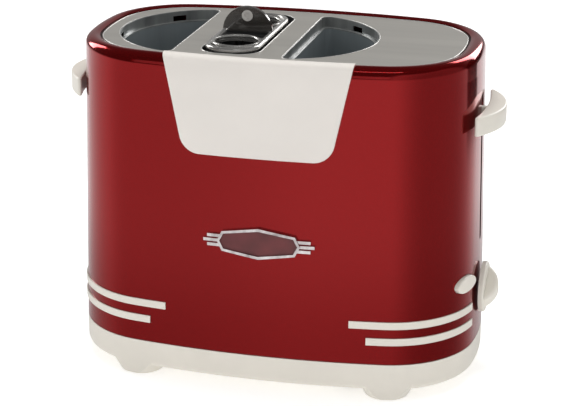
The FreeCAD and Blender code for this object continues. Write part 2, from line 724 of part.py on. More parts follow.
def make_badge(form):
    """A bare enamel field in a bright bezel, with three plain bars at each end."""
    low, high = D.badge_height - D.badge_half_height - 2, D.badge_height + D.badge_half_height + 2
    layer = drafted_form("badge_layer", low, high, -D.badge_thickness)
    field_layer = drafted_form("badge_field_layer", low, high, -D.badge_thickness / 2)
    bar_layer = drafted_form("badge_bar_layer", low, high, -D.badge_thickness * 0.7)
    outer = front_cutter("badge_outer", badge_points(as_size(0)))
    inner = front_cutter("badge_inner", badge_points(D.badge_rim))
    bars = []
    for name, step, reach in (("upper", 1, 0.72), ("middle", 0, 1.0), ("lower", -1, 0.72)):
        middle = D.badge_height + step * D.badge_bar_pitch
        half_length = D.badge_half_width + D.badge_wing * reach
        bars.append(box(f"badge_bar_{name}",
                        (D.badge_centre - half_length, D.badge_centre + half_length), (-FAR, 0),
                        (middle - D.badge_bar_height / 2, middle + D.badge_bar_height / 2)))
    wings = common("badge_wings", fuse("badge_bars", bars), bar_layer)
    bezel = common("bezel_blank", outer, layer)
    piece("badge_bezel", cut("bezel", fuse("bezel_and_wings", [bezel, wings]), [form, inner]))
    field = common("enamel_blank", inner, field_layer)
    piece("badge_enamel", cut("enamel", field, [form]))


# --- base ----------------------------------------------------------------------------------------

POST_PLACES = [(-104, 40), (60, 60), (112, 30)]


def post_places():
    """The six posts under the deck, mirrored front to back, tied to the housing's size."""
    for index, (x, y) in enumerate(POST_PLACES):
        for name, side in (("front", -1), ("rear", 1)):
            yield (f"{name}_{index}", D.half_length * (x / DIMENSIONS["half_length"]),
                   side * D.half_width * (y / DIMENSIONS["half_width"]))


def foot_places():
    for name, x_side, y_side in (("front_right", 1, -1), ("front_left", -1, -1),
                                 ("rear_right", 1, 1), ("rear_left", -1, 1)):
        yield name, x_side * D.foot_spread_length, y_side * D.foot_spread_width


def tray_span(clearance=0):
    return (D.well_centre - D.tray_half_length - clearance,
            D.well_centre + D.tray_half_length + clearance)


def make_base():
    """The moulded base: skirt, floor, posts and feet in one piece."""
    body = new_body("base_body")
    height = BASE_TOP - D.foot_height
    pad(body, oval_sketch(body, "skirt_outline", D.foot_height, 0), height)
    round_edges(body, D.base_round, lies_at("z", D.foot_height))
    lip_inset = D.shell_wall + D.fit_gap
    pad(body, oval_sketch(body, "lip_outline", BASE_TOP, lip_inset), D.base_lip)
    pocket(body, oval_sketch(body, "base_inside", BASE_TOP + D.base_lip, lip_inset + D.base_wall),
           BASE_TOP + D.base_lip - FLOOR_TOP)
    foot_top = D.foot_height + D.base_round + 1
    cones = [cone(f"foot_{name}", (x, y, D.pad_proud), D.foot_tip_radius, D.foot_root_radius,
                  foot_top - D.pad_proud) for name, x, y in foot_places()]
    skirt_inside = prism("skirt_inside", FLOOR_TOP, BASE_TOP, lip_inset + D.base_wall)
    feet = cut("feet", common("feet_blank", prism("feet_outline", 0, foot_top, 0),
                              fuse("foot_cones", cones)), [skirt_inside])
    posts = [cylinder(f"post_{name}", (x, y, FLOOR_TOP - SKIN), D.post_radius,
                      D.deck_height - D.deck_thickness - FLOOR_TOP + SKIN)
             for name, x, y in post_places()]
    whole = fuse("base_blank", [body, feet] + posts)
    piece("base_skirt", cut("base", whole, base_openings()))


def base_openings():
    """Cutters for the crumb tray, the vents, the pads, the screws and the cord bush."""
    tools = [box("tray_way", tray_span(D.fit_gap), (0, FAR),
                 (FLOOR_TOP, FLOOR_TOP + 2 * D.fit_gap + D.tray_depth))]
    for step in range(-2, 3):
        x = D.half_length * 0.62 + step * D.vent_pitch
        tools.append(box(f"vent_{step + 3}", (x - D.vent_width / 2, x + D.vent_width / 2),
                         (-D.vent_length / 2, D.vent_length / 2), (0, FLOOR_TOP + SKIN)))
    for name, x, y in foot_places():
        tools.append(cylinder(f"pad_seat_{name}", (x, y, 0), D.pad_radius + D.fit_gap / 3,
                              D.pad_thickness))
    tools += [screw_solid("hole", name, x, y) for name, x, y in post_places()]
    tools.append(cylinder("bush_hole", (D.bush_position, D.half_width * 0.5, bush_height()),
                          D.bush_radius, FAR, ALONG_Y))
    return tools


def screw_solid(use, name, x, y):
    head_height = D.screw_radius
    head = cylinder(f"{use}_head_{name}", (x, y, D.foot_height - SKIN), 2 * D.screw_radius,
                    head_height)
    shank = cylinder(f"{use}_shank_{name}", (x, y, D.foot_height - SKIN), D.screw_radius,
                     D.screw_length)
    return fuse(f"{use}_{name}", [head, shank])


def make_screws_and_pads():
    screws = [screw_solid("screw", name, x, y) for name, x, y in post_places()]
    piece("base_screws", group("screws", screws))
    pads = [cylinder(f"pad_{name}", (x, y, 0), D.pad_radius, D.pad_thickness)
            for name, x, y in foot_places()]
    piece("foot_pads", group("pads", pads))


def bush_height():
    return (FLOOR_TOP + BASE_TOP) / 2


def rear_wall(x):
    """Where the base's outline lies at the rear, at a place along the housing."""
    return root(D.front_radius * D.front_radius - x * x) - (D.front_radius - D.half_width)


def make_cord_bush():
    """A plain bush in the rear of the base where the mains lead would come out."""
    z = bush_height()
    flange_radius = D.bush_radius + D.bush_flange
    wall = rear_wall(D.bush_position - flange_radius)
    sleeve = cylinder("bush_sleeve", (D.bush_position, wall - 10, z), D.bush_radius - D.rod_clearance / 2,
                      11, ALONG_Y)
    flange = cylinder("bush_flange", (D.bush_position, wall, z), flange_radius, 2.4, ALONG_Y)
    bore = cylinder("bush_bore", (D.bush_position, wall - 12, z), D.bush_radius / 2, 20, ALONG_Y)
    piece("cord_bush", cut("bush", fuse("bush_blank", [sleeve, flange]), [bore]))


def make_crumb_tray():
    """The crumb tray slides out of the rear; its end wall closes the base's outline."""
    low = FLOOR_TOP + D.fit_gap
    x_low, x_high = tray_span()
    dish = box("tray_block", (x_low, x_high), (-D.tray_half_width, D.tray_half_width),
               (low, low + D.tray_depth))
    hollow = box("tray_hollow", (x_low + D.tray_wall, x_high - D.tray_wall),
                 (-D.tray_half_width + D.tray_wall, D.tray_half_width - D.tray_wall),
                 (low + D.tray_wall, FAR / 4))
    end_ring = cut("tray_end_ring", prism("tray_end_outline", low, D.tray_depth, 0),
                   [prism("tray_end_inside", low - 1, D.tray_depth + 2, D.base_wall)])
    end = common("tray_end", end_ring, box("tray_end_window", (x_low, x_high), (0, FAR), (0, FAR)))
    floor = box("tray_floor", (x_low, x_high), (D.tray_half_width - D.tray_wall, rear_wall(x_low)),
                (low, low + D.tray_wall))
    lip = box("tray_lip", (D.well_centre - 18, D.well_centre + 18),
              (D.half_width - 3, D.half_width + D.tray_pull), (low, low + 3))
    blank = fuse("tray_blank", [cut("tray_dish", dish, [hollow]), floor, end, lip])
    piece("crumb_tray", blank)


# --- wells ---------------------------------------------------------------------------------------

SIDES = {"left": -1, "right": 1}


def make_collar(name, side):
    """The bright collar under the plate's opening, with a ledge and three small windows."""
    body = new_body(f"collar_{name}_body")
    bottom = PLATE_TOP - D.collar_depth
    pad(body, dee_sketch(body, f"collar_{name}_outside", bottom, side, D.fit_gap), D.collar_depth - 0.2)
    pocket(body, dee_sketch(body, f"collar_{name}_inside", PLATE_TOP, side, D.fit_gap + D.collar_wall),
           D.collar_depth - D.collar_wall)
    pocket(body, dee_sketch(body, f"collar_{name}_ledge", PLATE_TOP, side, LINER_INSET + D.liner_wall),
           D.collar_depth + SKIN)
    windows = []
    for angle in (51.5, -9.0, -69.5):
        heading = angle if side > 0 else 180 - angle
        window = DOC.addObject("Part::Box", f"window_{name}_{len(windows)}")
        bind(window, "Length", DEE_RADIUS + 5)
        bind(window, "Width", D.window_width)
        bind(window, "Height", D.window_height)
        turn = Rotation(Vector(0, 0, 1), heading)
        shift = turn.multVec(Vector(0, -D.window_width.number / 2, 0))
        locate(window, D.well_centre + side * DEE_CENTRE + shift.x, shift.y,
               PLATE_TOP - D.collar_depth + D.collar_wall + 0.3, turn)
        windows.append(window)
    slices = cut(f"windows_{name}", fuse(f"window_set_{name}", windows),
                 [cylinder(f"window_core_{name}",
                           (D.well_centre + side * DEE_CENTRE, 0, 0),
                           DEE_RADIUS - 5, D.rim_height)])
    piece(f"bun_collar_{name}", cut(f"collar_{name}", body, [slices]))


def bar_slot(name):
    """Cutter for the slot that lets the lift bar travel through the well walls."""
    return box(name, (-FAR, FAR), (-SLOT_HALF, SLOT_HALF), (0, BAR_TOP + D.bar_clearance))


def heat_windows(name, low, high):
    """Cutters that open one wall to a heater, front and rear of the lift bar."""
    tools = []
    for place, side in (("front", -1), ("rear", 1)):
        middle = side * D.heat_window_offset
        tools.append(box(f"{name}_{place}", (low, high),
                         (middle - D.heat_window_width / 2, middle + D.heat_window_width / 2),
                         (D.heat_window_bottom, HEAT_TOP)))
    return tools


def make_bun_liner(name, side):
    body = new_body(f"liner_{name}_body")
    height = LINER_TOP - D.deck_height
    pad(body, dee_sketch(body, f"liner_{name}_outside", D.deck_height, side, LINER_INSET), height)
    pocket(body, dee_sketch(body, f"liner_{name}_inside", LINER_TOP, side, LINER_INSET + D.liner_wall),
           height + SKIN)
    flat = D.well_centre + side * (D.flat_offset + LINER_INSET)
    tools = [bar_slot(f"liner_{name}_slot")]
    tools += heat_windows(f"liner_{name}_window", flat - 3, flat + 3)
    piece(f"bun_liner_{name}", cut(f"liner_{name}", body, tools))


def make_sausage_liner():
    body = new_body("middle_liner_body")
    top = PLATE_TOP - D.fit_gap
    height = top - D.deck_height
    for name, inset, builder in (("outside", D.fit_gap, pad),
                                 ("inside", D.fit_gap + D.liner_wall, pocket)):
        sketch = rounded_sketch(body, f"middle_liner_{name}", D.centre_half_width - inset,
                                CENTRE_HALF_LENGTH - inset, D.centre_corner - inset,
                                centre=(D.well_centre, 0),
                                offset=D.deck_height if builder is pad else top)
        builder(body, sketch, height if builder is pad else height + SKIN)
    tools = [bar_slot("middle_liner_slot")]
    for name, side in SIDES.items():
        wall = D.well_centre + side * (D.centre_half_width - D.fit_gap)
        tools += heat_windows(f"middle_window_{name}", wall - 3, wall + 3)
    piece("sausage_liner", cut("middle_liner", body, tools))


def make_deck():
    """The steel deck on the base's posts; it carries the wells, heaters and frames."""
    body = new_body("deck_body")
    pad(body, oval_sketch(body, "deck_outline", D.deck_height - D.deck_thickness, D.deck_inset),
        D.deck_thickness)
    for name, side in SIDES.items():
        pocket(body, dee_sketch(body, f"deck_{name}", D.deck_height, side,
                                LINER_INSET + D.liner_wall + 2), D.deck_thickness + SKIN)
    piece("deck", body)


def heater_place(side):
    """Middle of the gap between a bun well's flat wall and the sausage well."""
    bun_wall = D.flat_offset + LINER_INSET
    return D.well_centre + side * (bun_wall + D.centre_half_width - D.fit_gap) / 2


def make_heater(name, side):
    """A mica card with flat ribbon wound on both faces, split below for the lift bar."""
    x = heater_place(side)
    half = D.mica_thickness / 2
    card = box(f"card_{name}", (x - half, x + half), (-MICA_HALF_LENGTH, MICA_HALF_LENGTH),
               (D.deck_height, MICA_TOP))
    piece(f"heater_card_{name}", cut(f"heater_card_cut_{name}", card, [bar_slot(f"card_slot_{name}")]))
    rows = int(D.ribbon_rows.number)
    pitch = (HEAT_TOP - D.heat_window_bottom) / D.ribbon_rows
    ribbons = []
    for row in range(rows):
        z = D.heat_window_bottom + pitch * (row + 0.5)
        for place, y_side in (("front", -1), ("rear", 1)):
            inner, outer = y_side * (SLOT_HALF + 4), y_side * (MICA_HALF_LENGTH - 3)
            y_span = (inner, outer) if y_side > 0 else (outer, inner)
            for face, face_side in (("in", -1), ("out", 1)):
                near = x + face_side * half
                far = near + face_side * D.ribbon_thickness
                x_span = (near, far) if face_side > 0 else (far, near)
                ribbons.append(box(f"ribbon_{name}_{row}_{place}_{face}", x_span, y_span,
                                   (z - D.ribbon_height / 2, z + D.ribbon_height / 2)))
    piece(f"heater_ribbons_{name}", group(f"ribbons_{name}", ribbons))


def make_guard_wires(name, side):
    """Upright wires that keep the food off the heater, on both of the walls beside it."""
    bun_face = D.well_centre + side * (D.flat_offset + LINER_INSET) - side * D.guard_wire_radius
    sausage_face = (D.well_centre + side * (D.centre_half_width - D.fit_gap)
                    + side * D.guard_wire_radius)
    wires = []
    for wall, x in (("bun", bun_face), ("sausage", sausage_face)):
        for place, y_side in (("front", -1), ("rear", 1)):
            for step in (-1, 0, 1):
                y = y_side * D.heat_window_offset + step * D.guard_wire_pitch
                wires.append(cylinder(f"wire_{name}_{wall}_{place}_{step + 1}",
                                      (x, y, D.heat_window_bottom - 5), D.guard_wire_radius,
                                      HEAT_TOP - D.heat_window_bottom + 10))
    piece(f"guard_wires_{name}", group(f"wires_{name}", wires))


# --- carriage and levers -------------------------------------------------------------------------

def carriage_face(side):
    """Outer face of the carriage plate on one side."""
    return D.well_centre + side * (DEE_CENTRE + DEE_RADIUS + D.carriage_gap + D.carriage_sheet)


def rod_place(side):
    return carriage_face(side) + side * D.block_length / 2


def ordered(first, second):
    return (first, second) if as_size(first).number < as_size(second).number else (second, first)


def make_lift_bar():
    x_span = (carriage_face(-1) + D.carriage_sheet, carriage_face(1) - D.carriage_sheet)
    piece("lift_bar", box("bar", x_span, (-D.bar_thickness / 2, D.bar_thickness / 2),
                          (BAR_BOTTOM, BAR_TOP)))


def make_bun_lifter(name, side):
    """The D-shaped platform that a bun stands on, drilled for crumbs."""
    body = new_body(f"lifter_{name}_body")
    inset = LINER_INSET + D.liner_wall + D.tray_clearance
    pad(body, dee_sketch(body, f"lifter_{name}_outline", BAR_TOP, side, inset), D.tray_sheet)
    holes = []
    for row in range(2):
        for step in (-2, -1, 1, 2):
            x = D.well_centre + side * (D.flat_offset + D.dee_corner + 8 + 13 * row)
            y = step * D.guard_wire_pitch * (1.6 if row == 0 else 1.3)
            holes.append(cylinder(f"crumb_hole_{name}_{row}_{step + 2}", (x, y, BAR_BOTTOM),
                                  D.guard_wire_pitch / 3, 2 * D.bar_height))
    piece(f"bun_lifter_{name}", cut(f"lifter_{name}", body, holes))


def make_carriage_plate(name, side):
    """The sheet that carries one end of the lift bar and the lever's arm."""
    outer = carriage_face(side)
    inner = outer - side * D.carriage_sheet
    plate = box(f"carriage_sheet_{name}", ordered(inner, outer),
                (-D.carriage_half_width, D.carriage_half_width), (BAR_BOTTOM, CARRIAGE_TOP))
    reach = D.half_length + D.lever_gap / 2
    arm = box(f"lever_arm_{name}", ordered(outer, side * reach),
              (-D.arm_thickness / 2, D.arm_thickness / 2),
              (LEVER_HEIGHT - D.arm_height / 2, LEVER_HEIGHT + D.arm_height / 2))
    ear_top = BLOCK_BOTTOM + D.block_height
    ear = box(f"spring_ear_{name}", ordered(outer, outer + side * (D.block_length - 1)),
              (-D.rod_offset - 3.5, -D.rod_offset + 3.5), (ear_top - D.carriage_sheet, ear_top))
    piece(f"carriage_plate_{name}", fuse(f"carriage_{name}", [plate, arm, ear]))


def make_guide_block(name, side):
    outer = carriage_face(side)
    block = box(f"block_{name}", ordered(outer, outer + side * D.block_length),
                (D.rod_offset - D.block_width / 2, D.rod_offset + D.block_width / 2),
                (BLOCK_BOTTOM, BLOCK_BOTTOM + D.block_height))
    bore = cylinder(f"block_bore_{name}", (rod_place(side), D.rod_offset, BLOCK_BOTTOM - 1),
                    D.rod_radius + D.rod_clearance, D.block_height + 2)
    piece(f"guide_block_{name}", cut(f"guide_block_cut_{name}", block, [bore]))


def make_guide_rod(name, side):
    piece(f"guide_rod_{name}", cylinder(f"rod_{name}", (rod_place(side), D.rod_offset, D.deck_height),
                                        D.rod_radius, FLANGE_HEIGHT - D.deck_height))


def make_end_frame(name, side):
    """Upright sheet between a bun well and the carriage; its flange holds the guide rod."""
    well_edge = D.well_centre + side * (DEE_CENTRE + DEE_RADIUS - LINER_INSET)
    inner = well_edge + side * D.frame_gap
    outer = inner + side * D.frame_sheet
    y_span = (-D.frame_half_width, D.frame_half_width)
    upright = box(f"upright_{name}", ordered(inner, outer), y_span, (D.deck_height, FLANGE_HEIGHT))
    reach = rod_place(side) + side * (D.rod_radius + 2)
    flange_span = (-D.carriage_half_width, D.carriage_half_width)
    flange = box(f"flange_{name}", ordered(inner, reach), flange_span,
                 (FLANGE_HEIGHT, FLANGE_HEIGHT + D.frame_sheet))
    foot_end = carriage_face(side) - side * (D.carriage_sheet + 1)
    foot = box(f"frame_foot_{name}", ordered(inner, foot_end), y_span,
               (D.deck_height, D.deck_height + D.frame_sheet))
    blank = fuse(f"frame_blank_{name}", [upright, flange, foot])
    piece(f"end_frame_{name}", cut(f"frame_{name}", blank, [bar_slot(f"frame_slot_{name}")]))


def make_lever(name, side):
    """The crescent lever: its inner face follows the housing, its neck goes through the slot."""
    body = new_body(f"lever_{name}_body")
    inset = draft_inset(LEVER_HEIGHT)
    bottom = LEVER_HEIGHT - D.lever_thickness / 2
    end_x = D.half_length - D.end_radius
    inner_radius = D.end_radius - inset + D.lever_gap
    span = D.lever_half_span
    tip_inner = end_x + root(inner_radius * inner_radius - span * span)
    tip_outer = tip_inner + D.lever_tip
    crown = end_x + inner_radius + D.lever_depth
    rise = crown - tip_outer
    outer_radius = (span * span + rise * rise) / (2 * rise)
    outer_x = crown - outer_radius
    inner_swing = math.asin(span.number / inner_radius.number)
    outer_swing = math.asin(span.number / outer_radius.number)
    sketch = new_sketch(body, f"lever_{name}_outline", offset=bottom)
    sketch.addGeometry(arc(outer_x.number, 0, outer_radius.number, -outer_swing, outer_swing), False)
    sketch.addGeometry(Part.LineSegment(Vector(tip_outer.number, span.number, 0),
                                        Vector(tip_inner.number, span.number, 0)), False)
    sketch.addGeometry(arc(end_x.number, 0, inner_radius.number, -inner_swing, inner_swing), False)
    sketch.addGeometry(Part.LineSegment(Vector(tip_inner.number, -span.number, 0),
                                        Vector(tip_outer.number, -span.number, 0)), False)
    for first, first_end, second, second_end in ((0, 2, 1, 1), (1, 2, 2, 2), (2, 1, 3, 1), (3, 2, 0, 1)):
        constrain(sketch, "Coincident", first, first_end, second, second_end)
    fix_point(sketch, 0, 3, x=outer_x, y=0)
    fix_point(sketch, 2, 3, x=end_x, y=0)
    constrain(sketch, "Radius", 0, size=outer_radius)
    constrain(sketch, "Radius", 2, size=inner_radius)
    fix_point(sketch, 2, 2, y=span)
    fix_point(sketch, 2, 1, y=-span)
    pad(body, sketch, D.lever_thickness)
    round_edges(body, D.lever_edge, lambda edge: True)
    neck_start = D.half_length - inset - D.shell_wall - 3
    neck = rounded_sketch(body, f"neck_{name}", D.neck_width / 2, D.neck_height / 2, 1,
                          centre=(0, LEVER_HEIGHT), role="YZ_Plane", offset=neck_start)
    pad(body, neck, end_x + inner_radius + 2 - neck_start)
    arm = rounded_sketch(body, f"arm_socket_{name}", D.arm_thickness / 2, D.arm_height / 2, 0.05,
                         centre=(0, LEVER_HEIGHT), role="YZ_Plane", offset=neck_start)
    pocket(body, arm, D.half_length + D.lever_gap / 2 - neck_start, upwards=True)
    if side < 0:
        body.Placement = Placement(Vector(), Rotation(Vector(0, 0, 1), 180))
    piece(f"lever_{name}", body)


def make_return_spring(name, side):
    """Tension spring from the frame's flange to the carriage's ear."""
    bottom = BLOCK_BOTTOM + D.block_height
    length = FLANGE_HEIGHT - bottom
    spring = DOC.addObject("Part::Feature", f"spring_{name}")
    end_gap = D.spring_wire + 0.1
    run = (length - 2 * end_gap).number
    helix = Part.makeHelix(run / D.spring_turns.number, run, D.spring_radius.number)
    start = Vector(D.spring_radius.number, 0, 0)
    section = Part.Wire(Part.makeCircle(D.spring_wire.number, start, Vector(0, 1, 0)))
    spring.Shape = Part.Wire(helix).makePipeShell([section], True, True)
    locate(spring, rod_place(side), -D.rod_offset, bottom + end_gap)
    piece(f"return_spring_{name}", spring)


def make_latch():
    """The armature on the carriage and the electromagnet that holds it down."""
    face = carriage_face(1)
    y_span = (-D.carriage_half_width, -D.rod_offset + 4)
    length = D.block_length
    top = BLOCK_BOTTOM
    piece("latch_armature", box("armature", (face, face + length), y_span, (top - 3, top)))
    magnet_top = top - 3 - LEVER_TRAVEL - D.fit_gap
    middle = face + length / 2
    middle_y = (y_span[0] + y_span[1]) / 2
    coil_radius = length / 2 - D.carriage_sheet
    yoke = box("magnet_yoke", (middle - coil_radius / 2, middle + coil_radius / 2),
               (middle_y - coil_radius / 2, middle_y + coil_radius / 2), (D.deck_height, magnet_top))
    coil = cylinder("magnet_coil", (middle, middle_y, D.deck_height + 3), coil_radius,
                    magnet_top - D.deck_height - 8)
    piece("electromagnet", fuse("magnet", [yoke, coil]))


# --- controls ------------------------------------------------------------------------------------

def knob_back():
    return D.half_length + D.knob_gap


def board_face():
    """Face of the control board that looks at the housing's end."""
    return D.half_length - 20


def make_knob():
    """Browning knob: a disc with a half-moon grip across it, on its own shaft."""
    body = new_body("knob_body")
    reach = D.knob_radius - D.knob_thickness * 0.7
    base = D.knob_thickness - 0.6
    depth = D.grip_depth + 0.6
    radius = (reach * reach + depth * depth) / (2 * depth)
    swing = math.asin(reach.number / radius.number)
    centre = base + depth - radius
    grip = new_sketch(body, "knob_grip")
    grip.addGeometry(arc(centre.number, 0, radius.number, -swing, swing), False)
    grip.addGeometry(Part.LineSegment(Vector(base.number, reach.number, 0),
                                      Vector(base.number, -reach.number, 0)), False)
    constrain(grip, "Coincident", 0, 2, 1, 1)
    constrain(grip, "Coincident", 1, 2, 0, 1)
    constrain(grip, "Vertical", 1)
    fix_point(grip, 0, 3, y=0)
    fix_point(grip, 1, 1, x=base)
    constrain(grip, "Radius", 0, size=radius)
    constrain(grip, "DistanceY", 1, 2, 1, 1, size=2 * reach)
    pad(body, grip, D.grip_width, midplane=True)
    round_edges(body, D.grip_width / 5, lambda edge: isinstance(edge.Curve, Part.Circle))
    pad(body, circle_sketch(body, "knob_disc", D.knob_radius, role="YZ_Plane"), D.knob_thickness)
    disc_edge = DIMENSIONS["knob_radius"]

    def rim(edge):
        return (isinstance(edge.Curve, Part.Circle) and abs(edge.Curve.Radius - disc_edge) < 0.01
                and edge.BoundBox.XMin > DIMENSIONS["knob_thickness"] - 0.01)
    round_edges(body, D.knob_thickness / 3, rim)
    locate(body, knob_back(), 0, D.knob_height, Rotation(Vector(1, 0, 0), D.grip_angle.number))
    piece("browning_knob", body)
    start = board_face() + D.pot_length - 6
    piece("knob_shaft", cylinder("shaft", (start, 0, D.knob_height), D.shaft_radius,
                                 knob_back() - start, ALONG_X))


def make_control_board():
    """The board with the browning control and the stop switch, upright behind the knob."""
    face = board_face()
    piece("control_board", box("board", (face - D.board_thickness, face),
                               (-D.board_half_width, D.board_half_width),
                               (D.deck_height, D.board_top)))
    can = cylinder("pot_can", (face, 0, D.knob_height), D.pot_radius, D.pot_length, ALONG_X)
    bore = cylinder("pot_bore", (face + D.pot_length - 7, 0, D.knob_height),
                    D.shaft_radius + D.rod_clearance, 10, ALONG_X)
    piece("browning_control", cut("pot", can, [bore]))
    place = button_place()
    inwards = place.Rotation.multVec(Vector(-1, 0, 0))
    depth = face.number + 3
    distance = (place.Base.x - depth) / -inwards.x
    y = place.Base.y + inwards.y * distance
    piece("stop_switch", box("switch", (face, face + 3), (y - 4, y + 4),
                             (D.button_height - 4, D.button_height + 4)))
    return distance


def make_stop_button(reach):
    """The oval stop button, with a flange behind the shell and a stem to the switch."""
    body = new_body("button_body")
    flange_back = -(D.shell_wall + 2 + D.button_travel)
    flange_front = -(D.shell_wall + 0.8)
    cap = ellipse_sketch(body, "button_cap", D.button_half_width, D.button_half_height, flange_back)
    pad(body, cap, D.button_proud - flange_back)
    round_edges(body, D.button_proud / 2, lies_at("x", D.button_proud))
    flange = ellipse_sketch(body, "button_flange", D.button_half_width + 1.6,
                            D.button_half_height + 1.6, flange_back)
    pad(body, flange, flange_front - 1 - flange_back)
    end_slant = D.stem_radius * math.tan(math.radians(DIMENSIONS["button_angle"]))
    stem_end = D.button_travel + D.fit_gap + end_slant - reach
    pad(body, circle_sketch(body, "button_stem", D.stem_radius, role="YZ_Plane", offset=stem_end),
        flange_back - stem_end + 0.5)
    body.Placement = button_place()
    piece("stop_button", body)


# --- sausage basket ------------------------------------------------------------------------------

BASKET_Y = D.basket_shift


def basket_holes():
    for name, side in (("front", -1), ("rear", 1)):
        yield name, BASKET_Y + side * SAUSAGE_OFFSET


def make_basket_ring():
    """The bright top of the basket: a tubular edge and two rimmed holes."""
    body = new_body("ring_body")
    centre = (D.well_centre, BASKET_Y)
    bottom = D.ring_top - D.ring_tube
    pad(body, rounded_sketch(body, "ring_outside", D.ring_half_width, RING_HALF_LENGTH,
                             D.ring_corner, centre=centre, offset=bottom), D.ring_tube)
    inner = D.ring_tube - 0.6
    pocket(body, rounded_sketch(body, "ring_inside", D.ring_half_width - inner,
                                RING_HALF_LENGTH - inner, D.ring_corner - inner, centre=centre,
                                offset=D.ring_top), D.ring_tube - 1.6)

    def outer_edge(edge):
        bounds = edge.BoundBox
        outside = (abs(abs(bounds.Center.x - D.well_centre.number) - D.ring_half_width.number) < 6
                   or abs(bounds.Center.y - BASKET_Y.number) > RING_HALF_LENGTH.number - 8)
        at_face = (abs(bounds.ZMin - bottom.number) < 0.01 and bounds.ZLength < 0.01
                   or abs(bounds.ZMin - D.ring_top.number) < 0.01 and bounds.ZLength < 0.01)
        return outside and at_face
    round_edges(body, D.ring_tube / 2 - 0.35, outer_edge)
    rims = []
    tools = []
    for name, y in basket_holes():
        rims.append(torus(f"hole_rim_{name}", (D.well_centre, y, D.ring_top - D.hole_rim),
                          D.sausage_radius + D.hole_rim * 0.4, D.hole_rim))
        tools.append(cylinder(f"sausage_hole_{name}", (D.well_centre, y, bottom - 2),
                              D.sausage_radius - D.hole_rim * 0.4, D.ring_tube + 4))
    blank = fuse("ring_blank", [cut("ring_cut", body, tools)] + rims)
    piece("basket_ring", blank)


def make_basket_cage():
    """Two upright wire cages, each a ring of wires with hoops and a drilled floor."""
    low = D.deck_height + D.basket_stand
    top = D.ring_top - D.ring_tube
    radius = D.sausage_radius + D.cage_wire
    wires = []
    count = int(D.cage_wires.number)
    for name, y in basket_holes():
        for index in range(count):
            angle = math.radians(360 / count * (index + 0.5))
            wires.append(cylinder(f"cage_{name}_{index}",
                                  (D.well_centre + radius * math.cos(angle),
                                   y + radius * math.sin(angle), low + 0.5),
                                  D.cage_wire, top - low - 0.5))
        floor = cylinder(f"cage_floor_{name}", (D.well_centre, y, low), radius + 1.6 * D.cage_wire, 1.4)
        drains = [cylinder(f"drain_{name}_{index}",
                           (D.well_centre + radius * 0.5 * math.cos(math.radians(90 * index)),
                            y + radius * 0.5 * math.sin(math.radians(90 * index)), low - 1), 2.4, 4)
                  for index in range(4)]
        wires.append(cut(f"cage_floor_cut_{name}", floor, drains))
        for level, z in (("low", (3 * low + top) / 4), ("high", (low + 3 * top) / 4)):
            band = cylinder(f"hoop_{level}_{name}", (D.well_centre, y, z), radius + 1.5 * D.cage_wire, 2)
            core = cylinder(f"hoop_core_{level}_{name}", (D.well_centre, y, z - 1),
                            radius + 0.3 * D.cage_wire, 4)
            wires.append(cut(f"hoop_cut_{level}_{name}", band, [core]))
    piece("basket_cage", fuse("cage", wires))


